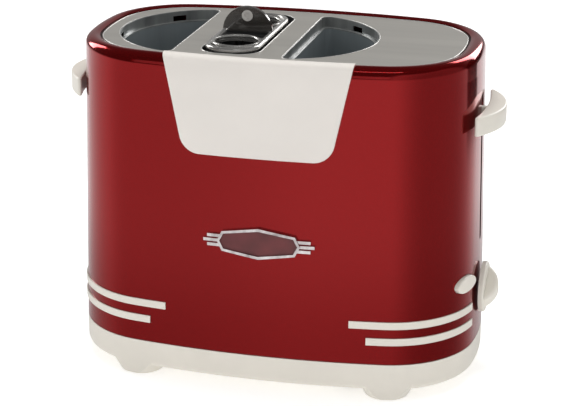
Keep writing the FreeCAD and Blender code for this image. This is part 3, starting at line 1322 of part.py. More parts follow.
def make_basket_tab():
    """The smoked lifting tab, its black foot and the round boss in its middle."""
    panel = D.ring_top - D.ring_tube + 1.6
    foot_top = panel + 2.0
    inner = D.ring_half_width - D.ring_tube + 0.6
    across = (BASKET_Y - D.saddle_half_width, BASKET_Y + D.saddle_half_width)
    saddle = box("tab_saddle", (D.well_centre - inner, D.well_centre + inner),
                 across, (panel, panel + 0.9))
    holes = [cylinder(f"saddle_hole_{name}", (D.well_centre, y, panel - 1),
                      D.sausage_radius + D.hole_rim * 1.4 + 0.3, 4) for name, y in basket_holes()]
    rib = box("tab_rib", (D.well_centre - inner, D.well_centre + inner),
              (BASKET_Y - D.tab_thickness, BASKET_Y + D.tab_thickness), (panel, foot_top))
    piece("tab_foot", fuse("tab_foot_fused", [cut("tab_saddle_cut", saddle, holes), rib]))

    body = new_body("tab_body")
    radius = D.tab_half_width
    rise = D.tab_height
    middle = foot_top + rise - radius
    sketch = new_sketch(body, "tab_outline", "XZ_Plane", offset=-BASKET_Y - D.tab_thickness / 2)
    left, right = D.well_centre - radius, D.well_centre + radius
    sketch.addGeometry(arc(D.well_centre.number, middle.number, radius.number, 0, math.pi), False)
    corners = [Vector(left.number, middle.number, 0), Vector(left.number, foot_top.number, 0),
               Vector(right.number, foot_top.number, 0), Vector(right.number, middle.number, 0)]
    for index in range(3):
        sketch.addGeometry(Part.LineSegment(corners[index], corners[index + 1]), False)
    constrain(sketch, "Tangent", 0, 2, 1, 1)
    constrain(sketch, "Coincident", 1, 2, 2, 1)
    constrain(sketch, "Coincident", 2, 2, 3, 1)
    constrain(sketch, "Tangent", 3, 2, 0, 1)
    constrain(sketch, "Radius", 0, size=radius)
    constrain(sketch, "Horizontal", 2)
    fix_point(sketch, 0, 3, x=D.well_centre, y=middle)
    fix_point(sketch, 1, 2, y=foot_top)
    pad(body, sketch, D.tab_thickness)
    boss_hole = cylinder("tab_boss_hole", (D.well_centre, BASKET_Y - 6, foot_top + D.boss_height),
                         D.boss_radius, 12, ALONG_Y)
    seat = cut("tab_seat", box("tab_seat_outside", (D.well_centre - FAR / 8, D.well_centre + FAR / 8),
                               across, (panel, D.ring_top + D.fit_gap)),
               [box("tab_seat_inside", (D.well_centre - inner + D.fit_gap,
                                        D.well_centre + inner - D.fit_gap),
                    (BASKET_Y - 10, BASKET_Y + 10), (panel - 1, D.ring_top + 1))])
    piece("basket_tab", cut("tab", body, [boss_hole, seat]))
    front = BASKET_Y - D.tab_thickness / 2 - 0.5
    boss = cylinder("boss_disc", (D.well_centre, front, foot_top + D.boss_height), D.boss_radius,
                    D.tab_thickness + 1, ALONG_Y)
    dimple = cylinder("boss_dimple", (D.well_centre, front - 1, foot_top + D.boss_height),
                      D.boss_radius * 0.55, 1 + D.boss_dimple, ALONG_Y)
    piece("tab_boss", cut("boss", boss, [dimple]))


# --- document ------------------------------------------------------------------------------------

def build():
    make_sheet()
    form = make_housing_form()
    make_outer_shell(form)
    make_top_plate()
    make_plaque(form)
    make_trim_strips(form)
    make_badge(form)
    make_base()
    make_screws_and_pads()
    make_cord_bush()
    make_crumb_tray()
    make_deck()
    make_sausage_liner()
    make_lift_bar()
    for name, side in SIDES.items():
        make_collar(name, side)
        make_bun_liner(name, side)
        make_heater(name, side)
        make_guard_wires(name, side)
        make_bun_lifter(name, side)
        make_carriage_plate(name, side)
        make_guide_block(name, side)
        make_guide_rod(name, side)
        make_end_frame(name, side)
        make_lever(name, side)
        make_return_spring(name, side)
    make_latch()
    make_knob()
    make_stop_button(make_control_board())
    make_basket_ring()
    make_basket_cage()
    make_basket_tab()
    DOC.recompute()


def check():
    """Stops before anything is written if an object failed or a shape is unsound."""
    failed = [thing.Name for thing in DOC.Objects
              if "Invalid" in thing.State or "Error" in thing.State]
    failed += [label for label, thing in PIECES.items()
               if thing.Shape.isNull() or not thing.Shape.isValid() or not thing.Shape.Solids]
    if failed:
        raise RuntimeError("unsound: " + ", ".join(failed))


def write():
    os.makedirs(PARTS_FOLDER, exist_ok=True)
    for label, thing in PIECES.items():
        thing.Shape.exportStep(f"{PARTS_FOLDER}/{label}.step")
        bounds = thing.Shape.BoundBox
        print(f"{label}: {len(thing.Shape.Solids)} solids, {thing.Shape.Volume:.0f} mm3, "
              f"x {bounds.XMin:.1f} {bounds.XMax:.1f} y {bounds.YMin:.1f} {bounds.YMax:.1f} "
              f"z {bounds.ZMin:.1f} {bounds.ZMax:.1f}")


build()
check()
write()
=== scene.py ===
"""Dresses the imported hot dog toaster: a finish for every CAD node, a finer housing with a painted
rim, the left lever's cap, lips round the openings, and the floor, the studio light and the camera.

Sizes of the object are in millimetres, in the CAD's frame, until its meshes are made. Places and
sizes of the floor, the lights and the camera are in metres."""
import json
import math

import bmesh
import bpy
from mathutils import Matrix, Vector


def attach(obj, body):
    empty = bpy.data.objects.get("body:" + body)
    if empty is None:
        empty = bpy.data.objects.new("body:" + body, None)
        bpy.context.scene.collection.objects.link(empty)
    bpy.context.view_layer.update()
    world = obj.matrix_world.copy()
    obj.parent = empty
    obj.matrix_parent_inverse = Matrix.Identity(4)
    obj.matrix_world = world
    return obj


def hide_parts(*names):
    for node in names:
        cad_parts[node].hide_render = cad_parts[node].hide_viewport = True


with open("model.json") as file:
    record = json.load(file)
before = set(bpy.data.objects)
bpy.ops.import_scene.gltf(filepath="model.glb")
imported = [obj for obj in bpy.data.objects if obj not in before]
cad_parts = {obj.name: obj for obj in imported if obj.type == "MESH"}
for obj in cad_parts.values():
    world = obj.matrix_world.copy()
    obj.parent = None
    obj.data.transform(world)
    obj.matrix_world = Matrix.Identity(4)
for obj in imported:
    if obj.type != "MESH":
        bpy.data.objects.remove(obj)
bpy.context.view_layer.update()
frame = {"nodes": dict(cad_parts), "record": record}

MM = 0.001
SHARP = 35.0             # edges sharper than this angle, in degrees, stay sharp
LIP_SHARP = 60.0
NODE_SHARP = 30.0
WELD_DISTANCE = 1e-6     # in metres, as the nodes' meshes are

# --- driving sizes of the housing, as in the CAD ------------------------------------------------

HOUSING = {"half_length": 140.0, "half_width": 81.4, "end": 190.0, "corner": 62.0, "side": 575.0}
PLATE = {"half_length": 124.0, "half_width": 70.0, "end": 180.0, "corner": 50.0, "side": 575.0}
SEAM = 26.5
RIM = 230.1
DRAFT = 4.6
SIDE_ROUND = 2.9
END_ROUND = 7.0
SLOPE_WIDTH = 3.9
SLOPE_DEPTH = 1.5
WALL = 2.2
FIT_GAP = 0.3
PLATE_RECESS = 1.6
PLATE_THICKNESS = 1.5
LEDGE_THICKNESS = 2.0
LEDGE = 3.0
PLATE_TOP = RIM - PLATE_RECESS
PLATE_BOTTOM = PLATE_TOP - PLATE_THICKNESS
LEDGE_BOTTOM = PLATE_BOTTOM - LEDGE_THICKNESS

WELL_CENTRE = -25.2
DEE_FLAT = 36.7
DEE_OFFSET = 26.0
DEE_RADIUS = 64.0
DEE_CORNER = 6.0
MIDDLE_HALF_WIDTH = 20.8
MIDDLE_HALF_LENGTH = 59.0
MIDDLE_CORNER = 15.0

LEVER_DROP = 45.6
LEVER_TRAVEL = 84.0
LEVER_HEIGHT = RIM - LEVER_DROP
SLOT_LOW_MARGIN = 6.0
SLOT_TOP_MARGIN = 14.0
SLOT_BOTTOM = LEVER_HEIGHT - LEVER_TRAVEL - SLOT_LOW_MARGIN
SLOT_TOP = LEVER_HEIGHT + SLOT_TOP_MARGIN
SLOT_WIDTH = 6.0
KNOB_HEIGHT = 59.7
KNOB_HOLE = 3.4
BUTTON_HEIGHT = 74.0
BUTTON_TURN = -20.7
BUTTON_HALF = (12.2, 6.1)

# --- sizes of what the scene adds ---------------------------------------------------------------

RIM_FOOT = 214.0         # height at which the rim's sheet takes over from the wall
UNDERCUT = 0.4           # how far the wall's top edge steps in under that sheet
GROOVE = 1.2             # width of the groove between the rim and the top plate
GROOVE_SHADE_DROP = 0.5          # depth of the near-black strip in it, below the plate's face: painted shade of the groove
SEEN_ROUND = 7.5         # the rim's shading turns over this along the sides, its form over 2.9
SEEN_SLOPE = 0.37        # how steeply that shading is spread, as seen from about 20 degrees above
SLOPE_POWER = 1.35       # how slowly the slope inside the crest starts to fall
WALL_STEPS = 6
ROLL_STEPS = 60
TILT_STEPS = 20
SLOPE_STEPS = 8
SLOT_REACH = 20          # how far each cutter reaches either way through the wall
KNOB_REACH = 12
BUTTON_REACH = 8
BEAD = 0.35              # radius of the rolled lips
LEFT_BEAD = 0.2
LIP_STEPS = 8
PLATE_LIP_INSET = 0.4
LEFT_RISE = 7.6          # the left lever's cap stands higher than its node by this
LEFT_DRAW = 2.0          # and its front end is drawn in towards the housing by this
FRONT_HALF = 36.0        # from its middle to its front end


# --- small helpers ------------------------------------------------------------------------------

def link(obj):
    bpy.context.scene.collection.objects.link(obj)
    return obj


def shade(mesh, sharp):
    mesh.shade_smooth()
    mesh.set_sharp_from_angle(angle=math.radians(sharp))


def mesh_object(name, vertices, faces, sharp=SHARP):
    """A smooth-shaded object from millimetre vertices, with edges sharper than an angle kept."""
    mesh = bpy.data.meshes.new(name)
    mesh.from_pydata([tuple(value * MM for value in vertex) for vertex in vertices], [], faces)
    mesh.validate()
    shell = bmesh.new()
    shell.from_mesh(mesh)
    bmesh.ops.recalc_face_normals(shell, faces=shell.faces)
    shell.to_mesh(mesh)
    shell.free()
    shade(mesh, sharp)
    return link(bpy.data.objects.new(name, mesh))


def ring_faces(rows, columns):
    """Quads that join rows of points both ways round, as on a torus."""
    faces = []
    for row in range(rows):
        below = (row + 1) % rows
        for column in range(columns):
            beside = (column + 1) % columns
            faces.append((row * columns + column, row * columns + beside,
                          below * columns + beside, below * columns + column))
    return faces


def arc_points(centre, radius, start, end, count, last=False):
    """Points along an arc given in radians; the end point is left out unless asked for."""
    steps = count + 1 if last else count
    return [(centre[0] + radius * math.cos(start + (end - start) * step / count),
             centre[1] + radius * math.sin(start + (end - start) * step / count))
            for step in range(steps)]


# --- outlines -----------------------------------------------------------------------------------

def corner_centre(oval):
    """Centre of an oval's corner arc at +x, +y, tangent inside to its end and side arcs."""
    end_x = oval["half_length"] - oval["end"]
    side_y = oval["half_width"] - oval["side"]
    to_end = oval["end"] - oval["corner"]
    to_side = oval["side"] - oval["corner"]
    span = math.hypot(end_x, side_y)
    along = (to_end**2 - to_side**2 + span**2) / (2 * span)
    aside = math.sqrt(to_end**2 - along**2)
    unit = (-end_x / span, side_y / span)
    return end_x + along * unit[0] - aside * unit[1], along * unit[1] + aside * unit[0]


def oval_columns(oval):
    """Stations round an oval, anticlockwise from +x. Each one is its arc's centre and radius, the
    direction it lies in, and how near it is to an end of the oval, from 0 on the sides to 1."""
    corner_x, corner_y = corner_centre(oval)
    end_x = oval["half_length"] - oval["end"]
    side_y = oval["half_width"] - oval["side"]
    low = math.atan2(corner_y, corner_x - end_x)
    steep = math.atan2(corner_y - side_y, corner_x)
    end_steps, corner_steps, side_steps = 12, 30, 24
    quarter = [(end_x, 0, oval["end"], low * step / end_steps, 1.0) for step in range(end_steps)]
    quarter += [(corner_x, corner_y, oval["corner"], low + (steep - low) * step / corner_steps,
                 1 - step / corner_steps) for step in range(corner_steps)]
    quarter += [(0, side_y, oval["side"], steep + (math.pi / 2 - steep) * step / side_steps, 0.0)
                for step in range(side_steps)]
    half = quarter + [(0, side_y, oval["side"], math.pi / 2, 0.0)]
    half += [(-x, y, radius, math.pi - turn, share) for x, y, radius, turn, share
             in reversed(quarter[1:])]
    whole = half + [(-end_x, 0, oval["end"], math.pi, 1.0)]
    whole += [(x, -y, radius, -turn, share) for x, y, radius, turn, share in reversed(half[1:])]
    return whole


def at_inset(column, inset):
    """The point of a station that lies the inset inside its oval."""
    x, y, radius, turn, _ = column
    return x + (radius - inset) * math.cos(turn), y + (radius - inset) * math.sin(turn)


def dee_outline(side, inset):
    """A bun well's opening: a large arc and a flat, joined by small corner arcs."""
    centre = WELL_CENTRE + side * DEE_OFFSET
    flat = WELL_CENTRE + side * (DEE_FLAT + inset)
    radius = DEE_RADIUS - inset
    corner = DEE_CORNER - inset * 0.5
    corner_x = flat + side * corner
    corner_y = math.sqrt((radius - corner)**2 - (corner_x - centre)**2)
    swing = math.atan2(corner_y, side * (corner_x - centre))
    arc_steps, corner_steps = 64, 14
    large = arc_points((0, 0), radius, -swing, swing, arc_steps)
    upper = arc_points((0, 0), corner, swing, math.pi, corner_steps, last=True)
    lower = arc_points((0, 0), corner, math.pi, 2 * math.pi - swing, corner_steps)
    return ([(centre + side * x, y) for x, y in large]
            + [(corner_x + side * x, corner_y + y) for x, y in upper]
            + [(corner_x + side * x, -corner_y + y) for x, y in lower])


def rounded_outline(centre, half_x, half_y, corner, count=16):
    """A rectangle with rounded corners, anticlockwise."""
    points = []
    for x_side, y_side, start in ((1, 1, 0), (-1, 1, 90), (-1, -1, 180), (1, -1, 270)):
        middle = (centre[0] + x_side * (half_x - corner), centre[1] + y_side * (half_y - corner))
        points += arc_points(middle, corner, math.radians(start), math.radians(start + 90), count,
                             last=True)
    return points


def ellipse_outline(half_x, half_y, count=48):
    turns = [2 * math.pi * step / count for step in range(count)]
    return [(half_x * math.cos(turn), half_y * math.sin(turn)) for turn in turns]


# --- procedural finishes ------------------------------------------------------------------------

NOISE_DETAIL = 6.0
NOISE_LOW = 0.3          # the noise's range over which the colour goes from dark to light
NOISE_HIGH = 0.7
LEAST_ROUGHNESS = 0.02
COAT_ROUGHNESS = 0.04
BUMP_DEPTH = 0.0002      # in metres


def finish(name, colour, metallic=0.0, roughness=0.4, coat=0.0, specular=0.5, tone_and_reflection_mottle=0.06,
           scale=60.0, stretch=(1, 1, 1), grain=0.0, spread=0.08, alpha=1.0):
    """A Principled finish whose colour and roughness wander a little with noise in object space."""
    material = bpy.data.materials.new(name)
    material.use_nodes = True
    nodes, links = material.node_tree.nodes, material.node_tree.links
    shader = nodes["Principled BSDF"]
    place = nodes.new("ShaderNodeTexCoord")
    mapping = nodes.new("ShaderNodeMapping")
    mapping.inputs["Scale"].default_value = stretch
    links.new(place.outputs["Object"], mapping.inputs["Vector"])
    noise = nodes.new("ShaderNodeTexNoise")
    noise.inputs["Scale"].default_value = scale
    noise.inputs["Detail"].default_value = NOISE_DETAIL
    links.new(mapping.outputs["Vector"], noise.inputs["Vector"])
    tint = nodes.new("ShaderNodeValToRGB")
    dark, light = tint.color_ramp.elements[0], tint.color_ramp.elements[1]
    dark.position = NOISE_LOW
    light.position = NOISE_HIGH
    # the mottle's spread of colour: random tone, and on the collars and the bezel painted
    # reflection
    dark.color = [max(0.0, value * (1 - tone_and_reflection_mottle)) for value in colour] + [1]
    light.color = [min(1.0, value * (1 + tone_and_reflection_mottle)) for value in colour] + [1]
    links.new(noise.outputs["Fac"], tint.inputs["Fac"])
    links.new(tint.outputs["Color"], shader.inputs["Base Color"])
    rough = nodes.new("ShaderNodeMapRange")
    rough.inputs["To Min"].default_value = max(LEAST_ROUGHNESS, roughness - spread / 2)
    rough.inputs["To Max"].default_value = min(1.0, roughness + spread / 2)
    links.new(noise.outputs["Fac"], rough.inputs["Value"])
    links.new(rough.outputs["Result"], shader.inputs["Roughness"])
    if grain:
        bump = nodes.new("ShaderNodeBump")
        bump.inputs["Strength"].default_value = grain
        bump.inputs["Distance"].default_value = BUMP_DEPTH
        links.new(noise.outputs["Fac"], bump.inputs["Height"])
        links.new(bump.outputs["Normal"], shader.inputs["Normal"])
    shader.inputs["Metallic"].default_value = metallic
    shader.inputs["Coat Weight"].default_value = coat
    shader.inputs["Coat Roughness"].default_value = COAT_ROUGHNESS
    shader.inputs["Specular IOR Level"].default_value = specular
    shader.inputs["Alpha"].default_value = alpha
    return material


# the finish of each material slot, apart from chrome_trim, whose one node has its own below
FINISHES = {
    "red_enamel": finish("red_enamel_finish", (0.275, 0.004, 0.005), metallic=0.85, roughness=0.12,
                         coat=0.32, specular=0.1, tone_and_reflection_mottle=0.05, scale=900.0, spread=0.04),
    "cream_enamel": finish("cream_enamel_finish", (0.81, 0.765, 0.715), roughness=0.35, coat=0.1,
                           tone_and_reflection_mottle=0.02, scale=30.0),
    "bright_steel": finish("bright_steel_finish", (0.62, 0.60, 0.57), metallic=1.0, roughness=0.16,
                           tone_and_reflection_mottle=0.08, scale=120.0),
    "ivory_plastic": finish("ivory_plastic_finish", (0.78, 0.74, 0.66), roughness=0.38, coat=0.15,
                            tone_and_reflection_mottle=0.02, scale=40.0),
    "black_plastic": finish("black_plastic_finish", (0.012, 0.012, 0.012), roughness=0.45,
                            tone_and_reflection_mottle=0.2, scale=200.0, grain=0.1),
    "smoked_plastic": finish("smoked_plastic_finish", (0.05, 0.045, 0.04), roughness=0.12,
                             coat=0.5, tone_and_reflection_mottle=0.1, scale=60.0, alpha=0.82),
    # bluish grey and mostly matt on the wells' liners: partly their steel's own tone, partly
    # painted reflection
    "liner_steel": finish("liner_steel_reflection_finish", (0.30, 0.335, 0.35), metallic=0.35, roughness=0.3,
                          tone_and_reflection_mottle=0.12, scale=70.0, stretch=(1, 1, 0.15), grain=0.1),
    "zinc_steel": finish("zinc_steel_finish", (0.42, 0.43, 0.44), metallic=1.0, roughness=0.4,
                         tone_and_reflection_mottle=0.15, scale=90.0),
    "mica": finish("mica_finish", (0.40, 0.33, 0.22), roughness=0.6, tone_and_reflection_mottle=0.25, scale=110.0),
    "heater_ribbon": finish("heater_ribbon_finish", (0.16, 0.14, 0.13), metallic=0.9,
                            roughness=0.45, tone_and_reflection_mottle=0.2, scale=150.0),
    "spring_steel": finish("spring_steel_finish", (0.34, 0.34, 0.35), metallic=1.0, roughness=0.3,
                           tone_and_reflection_mottle=0.1, scale=150.0),
    "coil_copper": finish("coil_copper_finish", (0.45, 0.20, 0.09), metallic=0.9, roughness=0.35,
                          tone_and_reflection_mottle=0.15, scale=300.0, stretch=(0.2, 0.2, 3)),
    "board": finish("board_finish", (0.02, 0.10, 0.045), roughness=0.35, coat=0.4, tone_and_reflection_mottle=0.2,
                    scale=120.0),
    "foot_rubber": finish("foot_rubber_finish", (0.02, 0.02, 0.02), roughness=0.7, tone_and_reflection_mottle=0.2,
                          scale=200.0, grain=0.2),
}
PLATE_FINISH = finish("brushed_plate_finish", (0.43, 0.412, 0.378), metallic=0.45, roughness=0.42,
                      tone_and_reflection_mottle=0.06, scale=60.0, stretch=(0.06, 1.6, 1), grain=0.08)
# near-black finish for the sausage liner: painted shade of its deep, narrow hole
PAINTED_SHADE_LINER = finish("painted_shade_liner_finish", (0.05, 0.05, 0.052), metallic=0.6, roughness=0.5,
                    tone_and_reflection_mottle=0.2, scale=60.0)
# the lips' steel, lighter than the plate whose edges they roll: painted highlight along those edges
LIP_HIGHLIGHT_FINISH = finish("lip_highlight_finish", (0.72, 0.71, 0.68), metallic=0.6, roughness=0.36, tone_and_reflection_mottle=0.05,
                    scale=90.0)
# strong upright streaks of light and dark on the bun collars: painted reflection
COLLAR_REFLECTION_FINISH = finish("collar_reflection_finish", (0.36, 0.37, 0.365), metallic=0.6, roughness=0.3,
                       tone_and_reflection_mottle=0.5, scale=45.0, stretch=(1, 1, 0.2))
BASKET_FINISH = finish("basket_finish", (0.52, 0.51, 0.49), metallic=0.8, roughness=0.26,
                       tone_and_reflection_mottle=0.06, scale=20.0)
BADGE_FIELD = finish("badge_field", (0.135, 0.020, 0.022), roughness=0.3, coat=0.15, tone_and_reflection_mottle=0.25,
                     scale=60.0)
# pink tint and strong mottle on the chrome bezel: painted reflection of the red housing and of dark
# surroundings
BEZEL_REFLECTION_FINISH = finish("bezel_reflection_finish", (0.74, 0.64, 0.64), metallic=1.0, roughness=0.14, tone_and_reflection_mottle=0.5,
                      scale=120.0)
# near-black strip in the groove round the plate: painted shade of the gap
GROOVE_SHADE_FINISH = finish("groove_shade_finish", (0.02, 0.017, 0.016), roughness=0.6, tone_and_reflection_mottle=0.3, scale=200.0)
# light grey on the tab's boss: partly its own tone, partly painted highlight round its ring
BOSS_HIGHLIGHT_FINISH = finish("boss_highlight_finish", (0.60, 0.58, 0.55), roughness=0.2, coat=0.4, tone_and_reflection_mottle=0.1,
                     scale=200.0)
# nodes that look unlike the rest of their slot; four carry painted shade, reflection and highlight
NODE_FINISH = {"top_plate": PLATE_FINISH, "sausage_liner": PAINTED_SHADE_LINER,
               "bun_collar_left": COLLAR_REFLECTION_FINISH, "bun_collar_right": COLLAR_REFLECTION_FINISH,
               "basket_ring": BASKET_FINISH, "tab_boss": BOSS_HIGHLIGHT_FINISH,
               "badge_enamel": BADGE_FIELD, "badge_bezel": BEZEL_REFLECTION_FINISH}


def paint(obj, material):
    obj.data.materials.clear()
    obj.data.materials.append(material)
    return obj


# --- CAD nodes ----------------------------------------------------------------------------------

def smoothing_group():
    """Geometry nodes that weld a node's faces and smooth all edges flatter than NODE_SHARP."""
    group = bpy.data.node_groups.new("smooth_by_angle", "GeometryNodeTree")
    group.interface.new_socket("Geometry", in_out="INPUT", socket_type="NodeSocketGeometry")
    group.interface.new_socket("Geometry", in_out="OUTPUT", socket_type="NodeSocketGeometry")
    nodes, links = group.nodes, group.links
    source = nodes.new("NodeGroupInput")
    plain = nodes.new("GeometryNodeRemoveAttribute")
    plain.inputs["Name"].default_value = "custom_normal"
    weld = nodes.new("GeometryNodeMergeByDistance")
    weld.inputs["Distance"].default_value = WELD_DISTANCE
    smooth = nodes.new("GeometryNodeSetShadeSmooth")
    smooth.domain = "FACE"
    angle = nodes.new("GeometryNodeInputMeshEdgeAngle")
    compare = nodes.new("FunctionNodeCompare")
    compare.operation = "GREATER_THAN"
    compare.inputs["B"].default_value = math.radians(NODE_SHARP)
    crease = nodes.new("GeometryNodeSetShadeSmooth")
    crease.domain = "EDGE"
    crease.inputs["Shade Smooth"].default_value = False
    target = nodes.new("NodeGroupOutput")
    links.new(source.outputs[0], plain.inputs["Geometry"])
    links.new(plain.outputs["Geometry"], weld.inputs["Geometry"])
    links.new(weld.outputs["Geometry"], smooth.inputs["Geometry"])
    links.new(smooth.outputs["Geometry"], crease.inputs["Geometry"])
    links.new(angle.outputs["Unsigned Angle"], compare.inputs["A"])
    links.new(compare.outputs["Result"], crease.inputs["Selection"])
    links.new(crease.outputs["Geometry"], target.inputs[0])
    return group


def dress_nodes():
    """Gives every CAD node its own or its slot's finish, and smooth shading."""
    slots = {part["node"]: part["material_slot"] for part in frame["record"]["subparts"]}
    group = smoothing_group()
    for name, obj in frame["nodes"].items():
        paint(obj, NODE_FINISH.get(name) or FINISHES[slots[name]])
        modifier = obj.modifiers.new("smooth", "NODES")
        modifier.node_group = group


# --- housing skin -------------------------------------------------------------------------------

def draft_inset(height):
    return DRAFT * (height - SEAM) / (RIM - SEAM)


def wall_profile():
    """The wall's outside below the rim, as (inset, height)."""
    heights = [SEAM + (RIM_FOOT - SEAM) * step / WALL_STEPS for step in range(WALL_STEPS + 1)]
    return [(draft_inset(height), height) for height in heights]


def roll_line(share):
    """The rim's outer face from its foot to its crest, finely stepped, as (inset, height)."""
    roll = SIDE_ROUND + (END_ROUND - SIDE_ROUND) * share
    lean = math.atan2(DRAFT, RIM - SEAM)
    start = RIM - roll * (1 - math.sin(lean))
    middle = draft_inset(start) + roll * math.cos(lean)
    heights = [RIM_FOOT + (start - RIM_FOOT) * step / ROLL_STEPS for step in range(ROLL_STEPS)]
    line = [(draft_inset(height), height) for height in heights]
    for step in range(ROLL_STEPS + 1):
        turn = lean + (math.pi / 2 - lean) * step / ROLL_STEPS
        line.append((middle - roll * math.cos(turn), RIM - roll + roll * math.sin(turn)))
    return line


def rim_profile(share):
    """Stations up the rim's outer face as (inset, height, tilt of the shading normal). They lie on
    the form, but their tilts turn over SEEN_ROUND along the sides, a broader roll than the form's
    own, which gives the edge the soft sheen of the photograph. At the ends the two are alike."""
    line = roll_line(share)
    crest = line[-1][0]
    broad = SEEN_ROUND + (END_ROUND - SEEN_ROUND) * share

    def drop(point):
        return RIM - point[1] + SEEN_SLOPE * (crest - point[0])
    stations = [(*line[0], 0.0)]
    for step in range(TILT_STEPS + 1):
        tilt = math.pi / 2 * step / TILT_STEPS
        wanted = broad * (1 - math.sin(tilt) + SEEN_SLOPE * math.cos(tilt))
        after = next((spot for spot, point in enumerate(line) if drop(point) <= wanted),
                     len(line) - 1)
        before = max(0, after - 1)
        span = drop(line[before]) - drop(line[after])
        part = 0 if span < 1e-9 else (drop(line[before]) - wanted) / span
        part = min(1, max(0, part))
        inset = line[before][0] + (line[after][0] - line[before][0]) * part
        height = line[before][1] + (line[after][1] - line[before][1]) * part
        stations.append((inset, height, tilt))
    return stations


def slope_profile():
    """From the crest down towards the plate as (inset from the plate's oval, height, tilt); the
    slope starts level, steepens, and ends over a narrow groove round the plate."""
    profile = []
    edge = 1 - GROOVE / SLOPE_WIDTH
    for step in range(1, SLOPE_STEPS + 1):
        share = edge * step / SLOPE_STEPS
        fall = SLOPE_POWER * SLOPE_DEPTH / SLOPE_WIDTH * share**(SLOPE_POWER - 1)
        profile.append((SLOPE_WIDTH * (share - 1), RIM - SLOPE_DEPTH * share**SLOPE_POWER,
                        math.pi / 2 + math.atan(fall)))
    return profile


def prism_object(name, outline, low, high):
    """An upright prism on an outline."""
    count = len(outline)
    vertices = [(x, y, low) for x, y in outline] + [(x, y, high) for x, y in outline]
    faces = [tuple(range(count)), tuple(range(2 * count - 1, count - 1, -1))]
    faces += [(step, (step + 1) % count, count + (step + 1) % count, count + step)
              for step in range(count)]
    return mesh_object(name, vertices, faces)


def end_frame(side, height):
    """A place in the middle of one end of the housing, as a matrix."""
    return Matrix.Translation((side * HOUSING["half_length"] * MM, 0, height * MM))


def button_frame():
    """Where the stop button's axis leaves the housing, as a matrix with local x outwards."""
    corner_x, corner_y = corner_centre(HOUSING)
    radius = HOUSING["corner"] - draft_inset(BUTTON_HEIGHT)
    turn = math.radians(BUTTON_TURN)
    place = Vector((corner_x + radius * math.cos(turn), -corner_y + radius * math.sin(turn),
                    BUTTON_HEIGHT)) * MM
    return Matrix.Translation(place) @ Matrix.Rotation(turn, 4, "Z")


def wall_cutter(name, outline, reach, place):
    """A cutter on an outline in its place's y-z plane, which reaches both ways along its x."""
    cutter = prism_object(name, outline, -reach, reach)
    upright = Matrix.Rotation(math.radians(90), 4, "Z") @ Matrix.Rotation(math.radians(90), 4, "X")
    cutter.matrix_world = place @ upright
    return cutter


def carve(obj, cutters):
    """Subtracts the cutters from the object and removes them."""
    for cutter in cutters:
        modifier = obj.modifiers.new("carve", "BOOLEAN")
        modifier.operation = "DIFFERENCE"
        modifier.solver = "EXACT"
        modifier.object = cutter
    bpy.context.view_layer.update()
    graph = bpy.context.evaluated_depsgraph_get()
    carved = bpy.data.meshes.new_from_object(obj.evaluated_get(graph))
    obj.modifiers.clear()
    obj.data = carved
    for cutter in cutters:
        bpy.data.objects.remove(cutter)
    shade(obj.data, SHARP)


def make_shell():
    """The red housing with its lever slots and its holes for the knob's shaft and the button."""
    outside = oval_columns(HOUSING)
    recess = oval_columns(PLATE)
    rows = []
    for inset, height in wall_profile() + [(draft_inset(RIM_FOOT) + UNDERCUT, RIM_FOOT)]:
        rows += [(*at_inset(column, inset), height) for column in outside]
    groove_top = slope_profile()[-1][1]
    for inset, height in [(-GROOVE, groove_top), (-GROOVE, PLATE_BOTTOM), (LEDGE, PLATE_BOTTOM),
                          (LEDGE, LEDGE_BOTTOM)]:
        rows += [(*at_inset(column, inset), height) for column in recess]
    for inset, height in [(draft_inset(LEDGE_BOTTOM) + WALL, LEDGE_BOTTOM), (WALL, SEAM)]:
        rows += [(*at_inset(column, inset), height) for column in outside]
    columns = len(outside)
    shell = mesh_object("housing_skin", rows, ring_faces(len(rows) // columns, columns))
    slot = rounded_outline((0, 0), SLOT_WIDTH / 2, (SLOT_TOP - SLOT_BOTTOM) / 2,
                           SLOT_WIDTH / 2 - FIT_GAP, 8)
    cutters = [wall_cutter(f"slot_cutter_{side}", slot, SLOT_REACH,
                           end_frame(side, (SLOT_BOTTOM + SLOT_TOP) / 2)) for side in (1, -1)]
    cutters += [wall_cutter("knob_cutter", ellipse_outline(KNOB_HOLE, KNOB_HOLE), KNOB_REACH,
                            end_frame(1, KNOB_HEIGHT)),
                wall_cutter("button_cutter", ellipse_outline(*BUTTON_HALF), BUTTON_REACH,
                            button_frame())]
    carve(shell, cutters)
    paint(shell, FINISHES["red_enamel"])
    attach(shell, "housing")
    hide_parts("outer_shell")


def make_rim():
    """The painted rim: one sheet from the wall over the crest to the groove round the plate. Its
    shading normals are set here, from the tilts of its profile."""
    outside = oval_columns(HOUSING)
    recess = oval_columns(PLATE)
    columns = len(outside)
    profiles = [rim_profile(column[4]) for column in outside]
    rows, tilts = [], []
    for row in range(len(profiles[0])):
        for column, profile in zip(outside, profiles):
            inset, height, tilt = profile[row]
            rows.append((*at_inset(column, inset), height))
            tilts.append((column[3], tilt))
    for inset, height, tilt in slope_profile():
        for column in recess:
            rows.append((*at_inset(column, inset), height))
            tilts.append((column[3], tilt))
    faces = ring_faces(len(rows) // columns, columns)[:-columns]
    mesh = bpy.data.meshes.new("rim_skin")
    mesh.from_pydata([tuple(value * MM for value in vertex) for vertex in rows], [], faces)
    mesh.shade_smooth()
    normals = [(math.cos(turn) * math.cos(tilt), math.sin(turn) * math.cos(tilt), math.sin(tilt))
               for turn, tilt in tilts]
    mesh.normals_split_custom_set_from_vertices(normals)
    rim = link(bpy.data.objects.new("rim_skin", mesh))
    paint(rim, FINISHES["red_enamel"])
    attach(rim, "housing")


# --- left lever ---------------------------------------------------------------------------------

